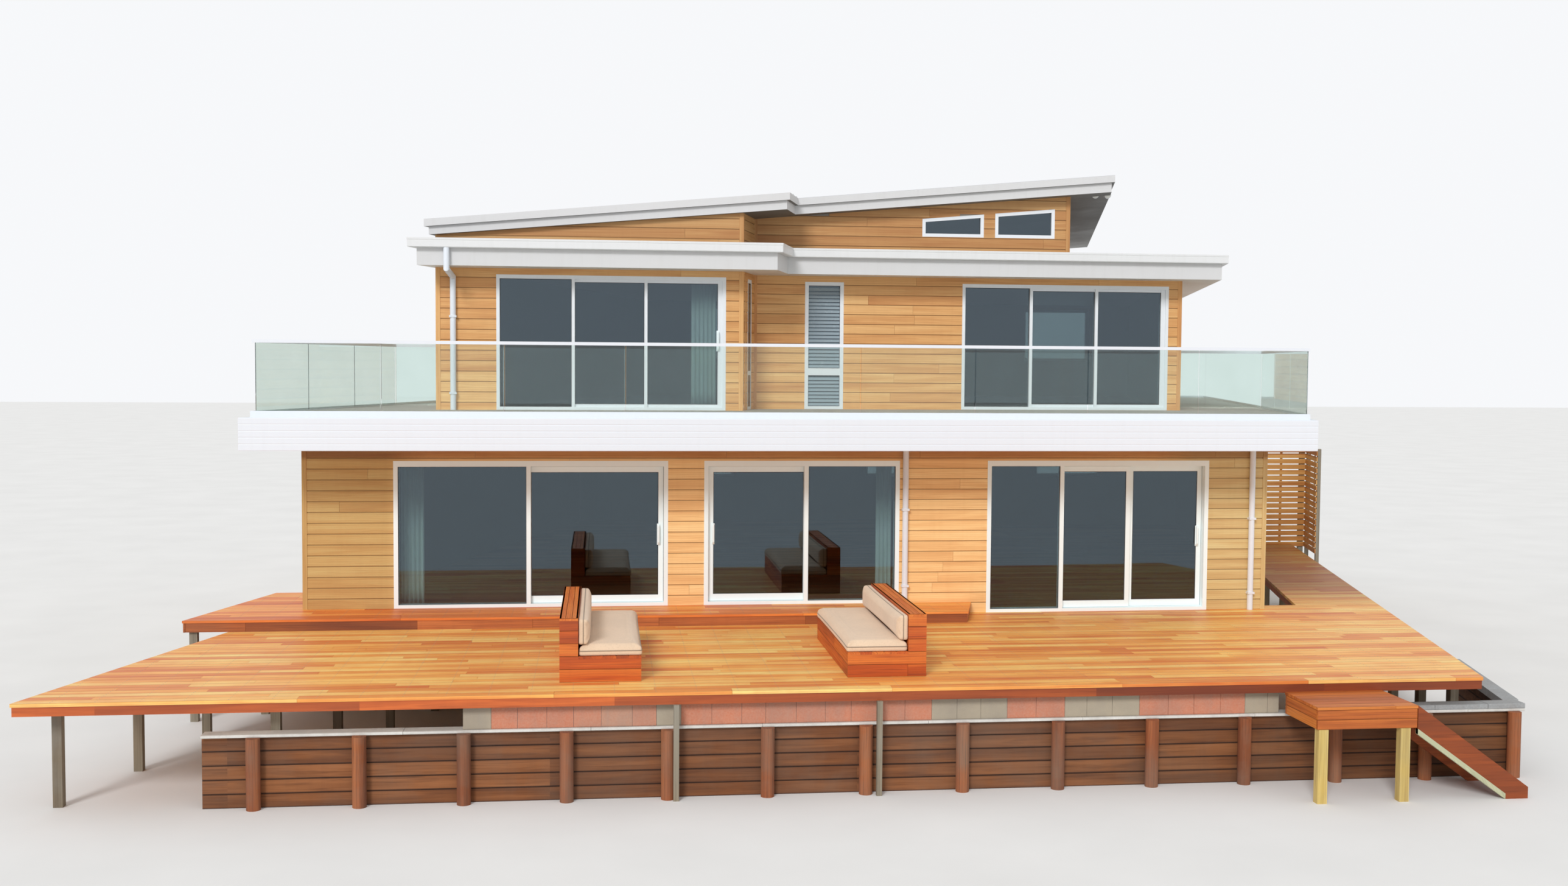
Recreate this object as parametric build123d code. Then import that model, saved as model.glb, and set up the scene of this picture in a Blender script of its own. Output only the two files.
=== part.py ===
from build123d import *
import os

os.makedirs("parts", exist_ok=True)

# Two-storey timber beach house on a raised deck, in millimetres.
# X runs along the sea front, Y from the sea side to the back, Z up from the ground.
# The side walls, the ends of the roofs and the ends of the deck are not square to
# the front: they shift along X by LEAN for every unit of depth.
LEAN = 0.287
BUTT = 1                       # open line left where two pieces of one kind meet
SNUG = 0.5                     # the same where one of them carries the other

# Main sizes
HOUSE_W = 13820
HOUSE_D = 12000
DECK_Z = 1200
STOREY_H = 2880                # deck to upper floor
UPPER_H = 2050                 # upper floor to the eave of the middle roof
WALL_T = 200
LEFT = -HOUSE_W / 2
RIGHT = HOUSE_W / 2


def shares(total, parts):
    """Cuts a width into parts of these proportions."""
    return [total * part / sum(parts) for part in parts]


# Ground storey front: pier, door unit, pier, door unit, pier, door unit, pier
front_w = shares(HOUSE_W, (121, 379, 51, 281, 129, 333, 88))
PIER_W = front_w[0::2]
DOOR_W = front_w[1::2]

# Levels
STEP_RISE = 155
FLOOR_BUILD = 470              # upper floor with the lining under the balcony
HEADER_H = 205
FLOOR_Z = DECK_Z + STOREY_H
SOFFIT_Z = FLOOR_Z - FLOOR_BUILD
HEAD_Z = SOFFIT_Z - HEADER_H
FASCIA_Z = FLOOR_Z - 40
KERB_Z = FLOOR_Z + 45
BALUSTRADE_H = 970
RAIL_Z = FLOOR_Z + BALUSTRADE_H
EAVE_Z = FLOOR_Z + UPPER_H
UPPER_HEAD_Z = EAVE_Z - 90
FASCIA_DEEP = 245              # eave to the underside of the roof gutter
GUTTER_Z = EAVE_Z + FASCIA_DEEP
GUTTER_H = 135
RAISED_Z = DECK_Z + STEP_RISE

# Upper storey: a bay at the left, the main front set back at the right
INSET_LEFT = 1460
INSET_RIGHT = 1180
BAY_Y = 900
MAIN_Y = 1800
BAY_PARTS = (84, 332, 24)
MAIN_PARTS = (79, 60, 186.5, 332.5, 20)
upper_w = shares(HOUSE_W - INSET_LEFT - INSET_RIGHT, BAY_PARTS + MAIN_PARTS)
BAY_L = LEFT + INSET_LEFT
BAY_R = BAY_L + sum(upper_w[:3])
MAIN_R = RIGHT - INSET_RIGHT
BAY_DOOR_W = upper_w[1]
LOUVRE_W = upper_w[4]
MAIN_DOOR_W = upper_w[6]
BAY_DOOR_X = BAY_L + LEAN * BAY_Y + upper_w[0]
LOUVRE_X = BAY_R + LEAN * MAIN_Y + upper_w[3]
MAIN_DOOR_X = LOUVRE_X + LOUVRE_W + upper_w[5]

# Roofs
EAVE_FRONT = 500
EAVE_LEFT = 80
EAVE_RIGHT = 605
GUTTER_T = 95
TOP_EAVE_BAY = 150
TOP_EAVE = 300
TOP_EAVE_LEFT = 120
TOP_EAVE_RIGHT = 720
TOP_LAYER = 105                # upper band of the stepped roof edge
TOP_BAND = 145                 # lower band, set back
TOP_SETBACK = 50
TOP_SLOPE = 0.091              # roof sheet
SOFFIT_SLOPE = 0.088           # underside, so the roof edge is deepest at the left
TOP_RISE = 1600                # roof sheet at its right end, above the eave of the middle roof
CLEAR_R = BAY_R + (MAIN_R - BAY_R) * 0.7286     # right end of the clerestory
TOP_RIGHT = CLEAR_R + TOP_EAVE_RIGHT

# Deck and balcony, with what they reach past the side walls
DECK_D = 5050
DECK_OVER_LEFT = 580
DECK_OVER_RIGHT = 1875
DECK_FRONT = -DECK_D
DECK_LEFT = LEFT - DECK_OVER_LEFT
DECK_RIGHT = RIGHT + DECK_OVER_RIGHT
DECK_T = 40
DECK_EDGE_H = 100
BALCONY_D = 1200
BALCONY_OVER_LEFT = 236
BALCONY_OVER_RIGHT = 554

# Low wall under the deck, and the landing in front of it
WALL_DROP = 430                # top of the low wall's boards below the deck
WALL_BACK = 150                # its boards behind the deck's edge
WALL_OVER_LEFT = 150
WALL_OVER_RIGHT = 1015
FIRST_POLE = 542               # from the wall's left end to its first pole
BAND_IN = 2580                 # from the house's left corner to the block band
LANDING_IN = 1980              # from the house's right corner to the landing


def at(u, y):
    """Plan point: u is X at the front wall line, carried back along the lean."""
    return (u + LEAN * y, y)


def prism(points, z0, z1):
    """Upright prism over a plan outline."""
    return extrude(Pos(0, 0, z0) * Polygon(*points, align=None), z1 - z0)


def leaning(u0, u1, y0, y1, z0, z1):
    """Block whose two ends follow the lean of the side walls."""
    return prism([at(u0, y0), at(u1, y0), at(u1, y1), at(u0, y1)], z0, z1)


def block(x0, x1, y0, y1, z0, z1):
    """Square block between two corners."""
    centre = Pos((x0 + x1) / 2, (y0 + y1) / 2, (z0 + z1) / 2)
    return centre * Box(x1 - x0, y1 - y0, z1 - z0)


def profile(points, y0, y1):
    """Outline in X and Z carried from y0 back to y1."""
    outline = Plane((0, y1, 0), x_dir=(1, 0, 0), z_dir=(0, -1, 0)) * Polygon(*points, align=None)
    return extrude(outline, y1 - y0)


def carried(points, y0, y1):
    """Outline in X and Z at the front wall line, carried from y0 back to y1 along the lean."""
    outline = Plane((LEAN * y0, y0, 0), x_dir=(1, 0, 0), z_dir=(0, -1, 0)) * Polygon(*points, align=None)
    return Solid.extrude(outline.face(), (LEAN * (y1 - y0), y1 - y0, 0))


def ring(x0, x1, y0, y1, z0, z1, side, top, foot):
    """Window frame facing the front."""
    hole = block(x0 + side, x1 - side, y0 - 5, y1 + 5, z0 + foot, z1 - top)
    return block(x0, x1, y0, y1, z0, z1) - hole


def plain_rim(u0, u1, y0, y1, t, z0, z1):
    """Four bars around a leaning plan, butted at the corners."""
    inner0 = y0 + t + BUTT
    inner1 = y1 - t - BUTT
    return [
        leaning(u0, u1, y0, y0 + t, z0, z1),
        leaning(u0, u1, y1 - t, y1, z0, z1),
        leaning(u0, u0 + t, inner0, inner1, z0, z1),
        leaning(u1 - t, u1, inner0, inner1, z0, z1),
    ]


def jogged_rim(u0, uj, u1, y0, yj, y1, t, z0, z1):
    """Six bars around the plan of the upper storey: bay front, return, main front,
    right side, back and left side."""
    return [
        leaning(u0, uj, y0, y0 + t, z0, z1),
        leaning(uj - t, uj, y0 + t + BUTT, yj + t, z0, z1),
        leaning(uj + BUTT, u1, yj, yj + t, z0, z1),
        leaning(u1 - t, u1, yj + t + BUTT, y1 - t - BUTT, z0, z1),
        leaning(u0, u1, y1 - t, y1, z0, z1),
        leaning(u0, u0 + t, y0 + t + BUTT, y1 - t - BUTT, z0, z1),
    ]


def jogged_plan(u0, uj, u1, y0, yj, y1):
    """Outline of the upper storey, bay at the left."""
    return [at(u0, y0), at(uj, y0), at(uj, yj), at(u1, yj), at(u1, y1), at(u0, y1)]


def save(name, solids):
    """Write one piece, or like pieces that do not touch, as one node. The frame's
    origin is on the ground under the middle of the front foundation wall."""
    placed = [Pos(0, -WALL_T / 2, 0) * solid for solid in solids]
    whole = placed[0] if len(placed) == 1 else Compound(children=placed)
    export_step(whole, f"parts/{name}.step")


# Openings of the ground storey: left edge, width and sill of each door unit
door_units = []
edge = LEFT
for pier, width, sill in zip(PIER_W, DOOR_W, (RAISED_Z, RAISED_Z, DECK_Z)):
    door_units.append((edge + pier, width, sill))
    edge += pier + width

# Foundation and floors
outer = leaning(LEFT, RIGHT, 0, HOUSE_D, 0, DECK_Z)
inner = leaning(LEFT + WALL_T, RIGHT - WALL_T, WALL_T, HOUSE_D - WALL_T, -5, DECK_Z + 5)
save("foundation", [outer - inner])

FLOOR_T = 120
room = (LEFT + WALL_T, RIGHT - WALL_T, WALL_T, HOUSE_D - WALL_T)
split_u = door_units[2][0] - 200
slab = leaning(*room, DECK_Z - FLOOR_T, DECK_Z)
raised = leaning(room[0], split_u, room[2], room[3], DECK_Z - 1, RAISED_Z)
save("ground_floor", [slab + raised])

# Ground storey walls: piers beside the doors, header over them, then the other sides
piers = []
edge = LEFT
for index, pier in enumerate(PIER_W):
    x0 = edge
    x1 = edge + pier
    lean0 = LEAN * WALL_T if index == 0 else 0
    lean1 = LEAN * WALL_T if index == len(PIER_W) - 1 else 0
    plan = [(x0, 0), (x1, 0), (x1 + lean1, WALL_T), (x0 + lean0, WALL_T)]
    piers.append(prism(plan, DECK_Z, HEAD_Z))
    if index < len(DOOR_W):
        edge = x1 + DOOR_W[index]
save("lower_front_piers", piers)
save("lower_front_header", [leaning(LEFT, RIGHT, 0, WALL_T, HEAD_Z, SOFFIT_Z)])

WINDOW_W = 1500
WINDOW_H = 1150
WINDOW_SILL = 950
FRAME_T = 55
FRAME_D = 90
back_x = LEAN * HOUSE_D
lower_windows = [back_x + HOUSE_W * part - WINDOW_W / 2 for part in (-0.3, 0.02, 0.3)]
lower_sill = RAISED_Z + WINDOW_SILL
lower_back = leaning(LEFT, RIGHT, HOUSE_D - WALL_T, HOUSE_D, DECK_Z, SOFFIT_Z)
for x in lower_windows:
    lower_back -= block(x, x + WINDOW_W, HOUSE_D - WALL_T - 5, HOUSE_D + 5, lower_sill, lower_sill + WINDOW_H)
side_y = (WALL_T + BUTT, HOUSE_D - WALL_T - BUTT)
save("lower_walls", [
    leaning(LEFT, LEFT + WALL_T, *side_y, DECK_Z, SOFFIT_Z),
    leaning(RIGHT - WALL_T, RIGHT, *side_y, DECK_Z, SOFFIT_Z),
    lower_back,
])

# Upper floor and balcony
BALCONY_FRONT = -BALCONY_D
BALCONY_LEFT = LEFT - BALCONY_OVER_LEFT
BALCONY_RIGHT = RIGHT + BALCONY_OVER_RIGHT
BALCONY_BACK = HOUSE_D + 150
KERB_SETBACK = 100
KERB_T = 30
fascia_w = KERB_SETBACK + KERB_T
save("balcony_slab", [leaning(
    BALCONY_LEFT + fascia_w, BALCONY_RIGHT - fascia_w, BALCONY_FRONT + fascia_w, BALCONY_BACK - fascia_w,
    SOFFIT_Z, FLOOR_Z)])
fascia = plain_rim(BALCONY_LEFT, BALCONY_RIGHT, BALCONY_FRONT, BALCONY_BACK, fascia_w, SOFFIT_Z, FASCIA_Z)
kerb_u0 = BALCONY_LEFT + KERB_SETBACK
kerb_u1 = BALCONY_RIGHT - KERB_SETBACK
kerb_y0 = BALCONY_FRONT + KERB_SETBACK
kerb_y1 = BALCONY_BACK - KERB_SETBACK
kerb = plain_rim(kerb_u0, kerb_u1, kerb_y0, kerb_y1, KERB_T, FASCIA_Z - 5, KERB_Z)
save("balcony_fascia", [low + high for low, high in zip(fascia, kerb)])

# Frameless glass balustrade: front, two sides and two short rear runs
GLASS_T = 12
RAIL_W = 50
RAIL_H = 42
PANEL_GAP = 14
REAR_Y = 3200
GLASS_Y = BALCONY_FRONT + KERB_SETBACK + KERB_T + 6
glass_u0 = kerb_u0 + KERB_T + 6
glass_u1 = kerb_u1 - KERB_T - 6
rail_in = (RAIL_W - GLASS_T) / 2


def panels_along(start, end, count):
    """Ends of equal glass panels with a gap between neighbours."""
    step = (end - start) / count
    return [(start + i * step + PANEL_GAP / 2, start + (i + 1) * step - PANEL_GAP / 2) for i in range(count)]


glass_z = (FLOOR_Z + 25, RAIL_Z - RAIL_H)
glass = []
for u0, u1 in panels_along(glass_u0 + 10, glass_u1 - 10, 9):
    glass.append(leaning(u0, u1, GLASS_Y, GLASS_Y + GLASS_T, *glass_z))
for u in (glass_u0, glass_u1 - GLASS_T):
    for y0, y1 in panels_along(GLASS_Y + GLASS_T + 10, REAR_Y - 10, 3):
        glass.append(leaning(u, u + GLASS_T, y0, y1, *glass_z))
for u0, u1 in ((glass_u0 + 10, BAY_L - 10), (MAIN_R + 10, glass_u1 - 10)):
    for p0, p1 in panels_along(u0, u1, 1):
        glass.append(leaning(p0, p1, REAR_Y, REAR_Y + GLASS_T, *glass_z))
save("balustrade_glass", glass)

rail_y0 = GLASS_Y - rail_in
rail_y1 = REAR_Y + GLASS_T + rail_in
rail_u0 = glass_u0 - rail_in
rail_u1 = glass_u1 + rail_in
rail_z = (RAIL_Z - RAIL_H, RAIL_Z)
side_run = (rail_y0 + RAIL_W + BUTT, rail_y1 - RAIL_W - BUTT)
save("balustrade_rail", [
    leaning(rail_u0, rail_u1, rail_y0, rail_y0 + RAIL_W, *rail_z),
    leaning(rail_u0, rail_u0 + RAIL_W, *side_run, *rail_z),
    leaning(rail_u1 - RAIL_W, rail_u1, *side_run, *rail_z),
    leaning(rail_u0, BAY_L, rail_y1 - RAIL_W, rail_y1, *rail_z),
    leaning(MAIN_R, rail_u1, rail_y1 - RAIL_W, rail_y1, *rail_z),
])

# Upper storey walls with the openings cut through
UPPER_SILL = FLOOR_Z + 10
upper = jogged_rim(BAY_L, BAY_R, MAIN_R, BAY_Y, MAIN_Y, HOUSE_D, WALL_T, FLOOR_Z, EAVE_Z)
light_z = (UPPER_SILL, UPPER_HEAD_Z)
upper[0] -= block(BAY_DOOR_X, BAY_DOOR_X + BAY_DOOR_W, BAY_Y - 5, BAY_Y + WALL_T + 5, *light_z)
slot_y = (BAY_Y + WALL_T + 170, MAIN_Y - 230)
upper[1] -= leaning(BAY_R - WALL_T - 5, BAY_R + 5, *slot_y, *light_z)
for x, width in ((LOUVRE_X, LOUVRE_W), (MAIN_DOOR_X, MAIN_DOOR_W)):
    upper[2] -= block(x, x + width, MAIN_Y - 5, MAIN_Y + WALL_T + 5, *light_z)
upper_windows = [back_x + BAY_L + (MAIN_R - BAY_L) * part - WINDOW_W / 2 for part in (0.17, 0.5, 0.83)]
upper_sill = UPPER_HEAD_Z - WINDOW_H
for x in upper_windows:
    upper[4] -= block(x, x + WINDOW_W, HOUSE_D - WALL_T - 5, HOUSE_D + 5, upper_sill, UPPER_HEAD_Z)
save("upper_walls", upper)

# Middle roof with its deep fascia, and the gutter around it
roof_u0 = BAY_L - EAVE_LEFT
roof_uj = BAY_R + EAVE_RIGHT
roof_u1 = MAIN_R + EAVE_RIGHT
roof_y0 = BAY_Y - EAVE_FRONT
roof_yj = MAIN_Y - EAVE_FRONT
roof_y1 = HOUSE_D + EAVE_FRONT
ROOF_TOP = GUTTER_Z + GUTTER_H - 40
save("mid_roof", [prism(jogged_plan(roof_u0, roof_uj, roof_u1, roof_y0, roof_yj, roof_y1), EAVE_Z, ROOF_TOP)])
g = GUTTER_T
save("roof_gutter", jogged_rim(
    roof_u0 - g, roof_uj + g, roof_u1 + g, roof_y0 - g, roof_yj - g, roof_y1 + g, g,
    GUTTER_Z, GUTTER_Z + GUTTER_H))


# The top roof is level along the lean, so its heights go with u
def roof_z(u):
    """Height of the top roof's upper surface."""
    return EAVE_Z + TOP_RISE - TOP_SLOPE * (TOP_RIGHT - u)


def step_z(u):
    """Height of the step between the two bands of its edge."""
    return roof_z(u) - TOP_LAYER


def under_z(u):
    """Height of its underside."""
    return EAVE_Z + TOP_RISE - TOP_LAYER - TOP_BAND - SOFFIT_SLOPE * (TOP_RIGHT - u)


def ground_z(u):
    """Height of the ground."""
    return 0


def between(top, foot):
    """Everything between two surfaces, each given by its height at u."""
    u0 = LEFT - HOUSE_W
    u1 = RIGHT + HOUSE_W
    points = [(u0, foot(u0)), (u1, foot(u1)), (u1, top(u1)), (u0, top(u0))]
    return carried(points, -HOUSE_D, 2 * HOUSE_D)


# Clerestory walls up to the sloping roof, with two trapezoid windows
TALL = 2 * EAVE_Z              # well above the roof
WALL_CLEAR_T = 150
rim = jogged_rim(BAY_L, BAY_R, CLEAR_R, BAY_Y, MAIN_Y, HOUSE_D, WALL_CLEAR_T, ROOF_TOP, TALL)
clerestory = [wall & between(under_z, ground_z) for wall in rim]
CLEAR_SILL = EAVE_Z + 630
CLEAR_HEAD = 180               # boards left above the windows, under the roof
clear_w = CLEAR_R - BAY_R
clear_windows = [
    (CLEAR_R + LEAN * MAIN_Y - back * clear_w, width * clear_w)
    for back, width in ((0.4717, 0.1964), (0.2389, 0.1923))]


def sloped_pane(x0, x1, sill, cut, y0, y1):
    """Trapezoid pane or opening whose head follows the roof."""
    lean = LEAN * MAIN_Y
    top0 = under_z(x0 - lean) - CLEAR_HEAD - cut
    top1 = under_z(x1 - lean) - CLEAR_HEAD - cut
    return profile([(x0, sill), (x1, sill), (x1, top1), (x0, top0)], y0, y1)


for x, width in clear_windows:
    clerestory[2] -= sloped_pane(x, x + width, CLEAR_SILL, 0, MAIN_Y - 5, MAIN_Y + WALL_CLEAR_T + 5)
save("clerestory_walls", clerestory)

# Top roof: an upper layer and, set back under it, the lower band
top_plan = (
    BAY_L - TOP_EAVE_LEFT, BAY_R + TOP_EAVE_RIGHT, TOP_RIGHT, BAY_Y - TOP_EAVE_BAY, MAIN_Y - TOP_EAVE,
    HOUSE_D + TOP_EAVE)
s = TOP_SETBACK
band_plan = [edge + shift for edge, shift in zip(top_plan, (s, -s, -s, s, s, -s))]
save("top_roof", [prism(jogged_plan(*top_plan), FLOOR_Z, TALL) & between(roof_z, step_z)])
save("top_roof_band", [prism(jogged_plan(*band_plan), FLOOR_Z, TALL) & between(step_z, under_z)])

# Ground storey door units: head and sill tracks, jambs, fixed panes and sliding sashes
HEAD_H = 80
SILL_H = 45
JAMB_W = 60
MULLION_W = 60
UNIT_D = 165
UNIT_Y = -15
SASH_T = 34
TRACK = 46                     # distance between neighbouring sliding planes
STILE_W = 68
TOP_RAIL = 76
FOOT_RAIL = 96
CLEAR = 6                      # running clearance around a sash
RUNNER_W = 10                  # runner on the sill that a sash stands on
PANE_Y = UNIT_Y + 18

tracks = []
jambs = []
fixed_glass = []


def sash_of(x0, x1, z0, z1, plane, handle_at):
    """Sliding sash in its plane, with a pull handle on one stile, and its pane."""
    y0 = PANE_Y + plane * TRACK
    frame = ring(x0, x1, y0, y0 + SASH_T, z0, z1, STILE_W, TOP_RAIL, FOOT_RAIL)
    if handle_at is not None:
        hx = x0 + STILE_W / 2 if handle_at == "left" else x1 - STILE_W / 2
        grip_z = (z0 + z1) / 2
        frame += block(hx - 13, hx + 13, y0 + SASH_T - 2, y0 + SASH_T + 12, grip_z - 140, grip_z + 140)
    mid = y0 + SASH_T / 2
    pane = block(x0 + STILE_W, x1 - STILE_W, mid - 8, mid + 8, z0 + FOOT_RAIL, z1 - TOP_RAIL)
    return frame, pane


for (x, width, sill), planes in zip(door_units, (1, 1, 2)):
    y1 = UNIT_Y + UNIT_D
    tracks.append(block(x, x + width, UNIT_Y, y1, HEAD_Z - HEAD_H, HEAD_Z))
    foot = DECK_Z if sill > DECK_Z else sill
    track = block(x, x + width, UNIT_Y + 15, y1, foot, sill + SILL_H)
    track += block(x, x + width, UNIT_Y, y1, sill, sill + SILL_H)
    for plane in range(1, planes + 1):
        mid = PANE_Y + plane * TRACK + SASH_T / 2
        rail = (mid - RUNNER_W / 2, mid + RUNNER_W / 2, sill + SILL_H - 1, sill + SILL_H + CLEAR)
        track += block(x + JAMB_W, x + width - JAMB_W, *rail)
    tracks.append(track)
    for jx in (x, x + width - JAMB_W):
        jambs.append(block(jx, jx + JAMB_W, UNIT_Y, y1, sill + SILL_H, HEAD_Z - HEAD_H))


def fixed_part(x0, x1, mullion_x, sill):
    """Mullion of the fixed pane, in the outer plane only, and the pane itself."""
    z0 = sill + SILL_H
    z1 = HEAD_Z - HEAD_H
    jambs.append(block(mullion_x, mullion_x + MULLION_W, UNIT_Y, PANE_Y + SASH_T, z0, z1))
    mid = PANE_Y + SASH_T / 2
    fixed_glass.append(block(x0, x1, mid - 8, mid + 8, z0, z1))


def sash_heights(sill):
    """Foot and top of a sliding sash over a sill."""
    return sill + SILL_H + CLEAR, HEAD_Z - HEAD_H - CLEAR


# Left unit: fixed pane at the left, the right sash slides left
x, width, sill = door_units[0]
meet = x + width * 0.479
fixed_part(x + JAMB_W, meet, meet, sill)
frame, pane = sash_of(meet - 4, x + width - JAMB_W - CLEAR, *sash_heights(sill), 1, "right")
save("left_door_sash", [frame])
save("left_door_glass", [pane])

# Middle unit: fixed pane at the right, the left sash slides right
x, width, sill = door_units[1]
meet = x + width * 0.53
fixed_part(meet, x + width - JAMB_W, meet - MULLION_W, sill)
frame, pane = sash_of(x + JAMB_W + CLEAR, meet + 4, *sash_heights(sill), 1, "left")
save("middle_door_sash", [frame])
save("middle_door_glass", [pane])

# Right unit: fixed pane at the left, two sashes stack in front of it
x, width, sill = door_units[2]
meet = x + width * 0.325
second = x + width * 0.645
fixed_part(x + JAMB_W, meet, meet, sill)
frame, pane = sash_of(meet - 4, second + 16, *sash_heights(sill), 1, None)
save("right_inner_sash", [frame])
save("right_inner_glass", [pane])
frame, pane = sash_of(second, x + width - JAMB_W - CLEAR, *sash_heights(sill), 2, "right")
save("right_outer_sash", [frame])
save("right_outer_glass", [pane])

save("door_tracks", tracks)
save("door_jambs", jambs)

# Fixed joinery: upper door rows, louvre window, slot window, clerestory and rear windows
frames = []
BAR_W = 45
UPPER_JAMB = 48
UPPER_STILE = 70               # stile of the last pane, beside the frame
UPPER_TOP = 55
UPPER_FOOT = 45
PANEL_RAIL = 40                # top and foot rail of the two framed panes
PANE_T = 16


def glazed_row(x, width, y, fixed):
    """Three-light row of the upper storey: fixed pane first, then two framed panes."""
    y0 = y - 15
    y1 = y0 + 110
    frame = ring(x, x + width, y0, y1, UPPER_SILL, UPPER_HEAD_Z, UPPER_JAMB, UPPER_TOP, UPPER_FOOT)
    last = x + width - UPPER_JAMB - UPPER_STILE
    foot = UPPER_SILL + UPPER_FOOT
    top = UPPER_HEAD_Z - UPPER_TOP
    frame += block(last, last + UPPER_STILE + 5, y0 + 20, y1, foot - 5, top + 5)
    light = (last - x - UPPER_JAMB) / 3
    bars = [x + UPPER_JAMB + light * i for i in (1, 2)]
    for bar in bars:
        frame += block(bar - BAR_W / 2, bar + BAR_W / 2, y0, y1, foot - 5, top + 5)
    starts = [x + UPPER_JAMB] + [bar + BAR_W / 2 for bar in bars]
    ends = [bar - BAR_W / 2 for bar in bars] + [last]
    for i, (x0, x1) in enumerate(zip(starts, ends)):
        rail = PANEL_RAIL if i > 0 else 0
        if rail:
            frame += block(x0 - 1, x1 + 1, y0 + 30, y0 + 70, top - rail, top + 1)
            frame += block(x0 - 1, x1 + 1, y0 + 30, y0 + 70, foot - 1, foot + rail)
        fixed.append(block(x0, x1, y0 + 42, y0 + 42 + PANE_T, foot + rail, top - rail))
    return frame


def window(x, width, y, z0, z1, fixed):
    """Plain window facing front or back, frame around one pane."""
    frame = ring(x, x + width, y, y + FRAME_D, z0, z1, FRAME_T, FRAME_T, FRAME_T)
    mid = y + FRAME_D / 2
    fixed.append(block(x + FRAME_T, x + width - FRAME_T, mid - 8, mid + 8, z0 + FRAME_T, z1 - FRAME_T))
    return frame


frames.append(glazed_row(BAY_DOOR_X, BAY_DOOR_W, BAY_Y, fixed_glass))
frames.append(glazed_row(MAIN_DOOR_X, MAIN_DOOR_W, MAIN_Y, fixed_glass))

# Louvre window: framed opening with a transom, its blades are in two stacks
louvre = ring(LOUVRE_X, LOUVRE_X + LOUVRE_W, MAIN_Y - 15, MAIN_Y + 85, UPPER_SILL, UPPER_HEAD_Z, 55, 55, 45)
transom_z = FLOOR_Z + 530
louvre += block(LOUVRE_X + 50, LOUVRE_X + LOUVRE_W - 50, MAIN_Y - 15, MAIN_Y + 85, transom_z, transom_z + 110)
frames.append(louvre)
for z0, z1 in ((UPPER_SILL + 45, transom_z), (transom_z + 110, UPPER_HEAD_Z - 55)):
    fixed_glass.append(block(LOUVRE_X + 55, LOUVRE_X + LOUVRE_W - 55, MAIN_Y + 45, MAIN_Y + 53, z0, z1))

# Slot window in the return wall of the bay
slot_u = (BAY_R - FRAME_D + 10, BAY_R + 10)
slot = leaning(*slot_u, *slot_y, UPPER_SILL, UPPER_HEAD_Z)
slot_z = (UPPER_SILL + UPPER_FOOT, UPPER_HEAD_Z - UPPER_TOP)
slot -= leaning(slot_u[0] - 5, slot_u[1] + 5, slot_y[0] + 45, slot_y[1] - 45, *slot_z)
slot += leaning(*slot_u, slot_y[0] + 40, slot_y[1] - 40, transom_z, transom_z + 60)
frames.append(slot)
slot_mid = sum(slot_u) / 2
for z0, z1 in ((UPPER_SILL + 45, transom_z), (transom_z + 60, UPPER_HEAD_Z - 55)):
    fixed_glass.append(leaning(slot_mid - 8, slot_mid + 8, slot_y[0] + 45, slot_y[1] - 45, z0, z1))

for x, width in clear_windows:
    y0 = MAIN_Y - 12
    y1 = y0 + FRAME_D
    b = 50
    outer = sloped_pane(x, x + width, CLEAR_SILL, 0, y0, y1)
    inner = sloped_pane(x + b, x + width - b, CLEAR_SILL + b, b, y0 - 5, y1 + 5)
    frames.append(outer - inner)
    fixed_glass.append(sloped_pane(x + b, x + width - b, CLEAR_SILL + b, b, y0 + 37, y0 + 53))

rear_y = HOUSE_D + 12 - FRAME_D
for x in lower_windows:
    frames.append(window(x, WINDOW_W, rear_y, lower_sill, lower_sill + WINDOW_H, fixed_glass))
for x in upper_windows:
    frames.append(window(x, WINDOW_W, rear_y, upper_sill, UPPER_HEAD_Z, fixed_glass))
save("window_frames", frames)
save("fixed_glass", fixed_glass)

# Downpipes: one from the roof gutter with an offset under the eave, two under the balcony
PIPE_R = 42
PIPE_GAP = 8
pipes = []
pipe_y = BAY_Y - PIPE_GAP - PIPE_R
pipe_x = BAY_L + LEAN * BAY_Y + 230
gutter_y = roof_y0 - GUTTER_T / 2
path = Polyline(
    (pipe_x - 40, gutter_y, GUTTER_Z), (pipe_x - 40, gutter_y, EAVE_Z - PIPE_R - 8),
    (pipe_x, pipe_y, EAVE_Z - 135), (pipe_x, pipe_y, FLOOR_Z))
pipes.append(sweep(Plane(path @ 0, z_dir=path % 0) * Circle(PIPE_R), path, transition=Transition.RIGHT))
for x, foot in ((door_units[1][0] + DOOR_W[1] + 80, RAISED_Z), (RIGHT - 225, DECK_Z)):
    pipes.append(Pos(x, -PIPE_GAP - PIPE_R, (foot + SOFFIT_Z) / 2) * Cylinder(PIPE_R, SOFFIT_Z - foot))
save("downpipes", pipes)

# Deck: boards layer, edge boards, bearers and posts down to the ground
save("main_deck", [leaning(DECK_LEFT, DECK_RIGHT, DECK_FRONT, -BUTT, DECK_Z - DECK_T, DECK_Z)])
WALK_INNER = BALCONY_RIGHT + 16
WALK_D = 7900
WELL_Y = 300                   # the open well between wall and walkway starts here
walkway = leaning(WALK_INNER, DECK_RIGHT, 0, WALK_D, DECK_Z - DECK_T, DECK_Z)
walkway += leaning(RIGHT + BUTT, WALK_INNER + 1, 0, WELL_Y, DECK_Z - DECK_T, DECK_Z)
save("side_walkway", [walkway])
edge_z = (DECK_Z - DECK_T - DECK_EDGE_H, DECK_Z - DECK_T)
EDGE_T = 32
EDGE_IN = 12
edge_y = DECK_FRONT + EDGE_IN
side0 = edge_y + EDGE_T + BUTT
well_u = WALK_INNER + EDGE_IN + EDGE_T
well_y = WELL_Y - EDGE_IN
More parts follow.
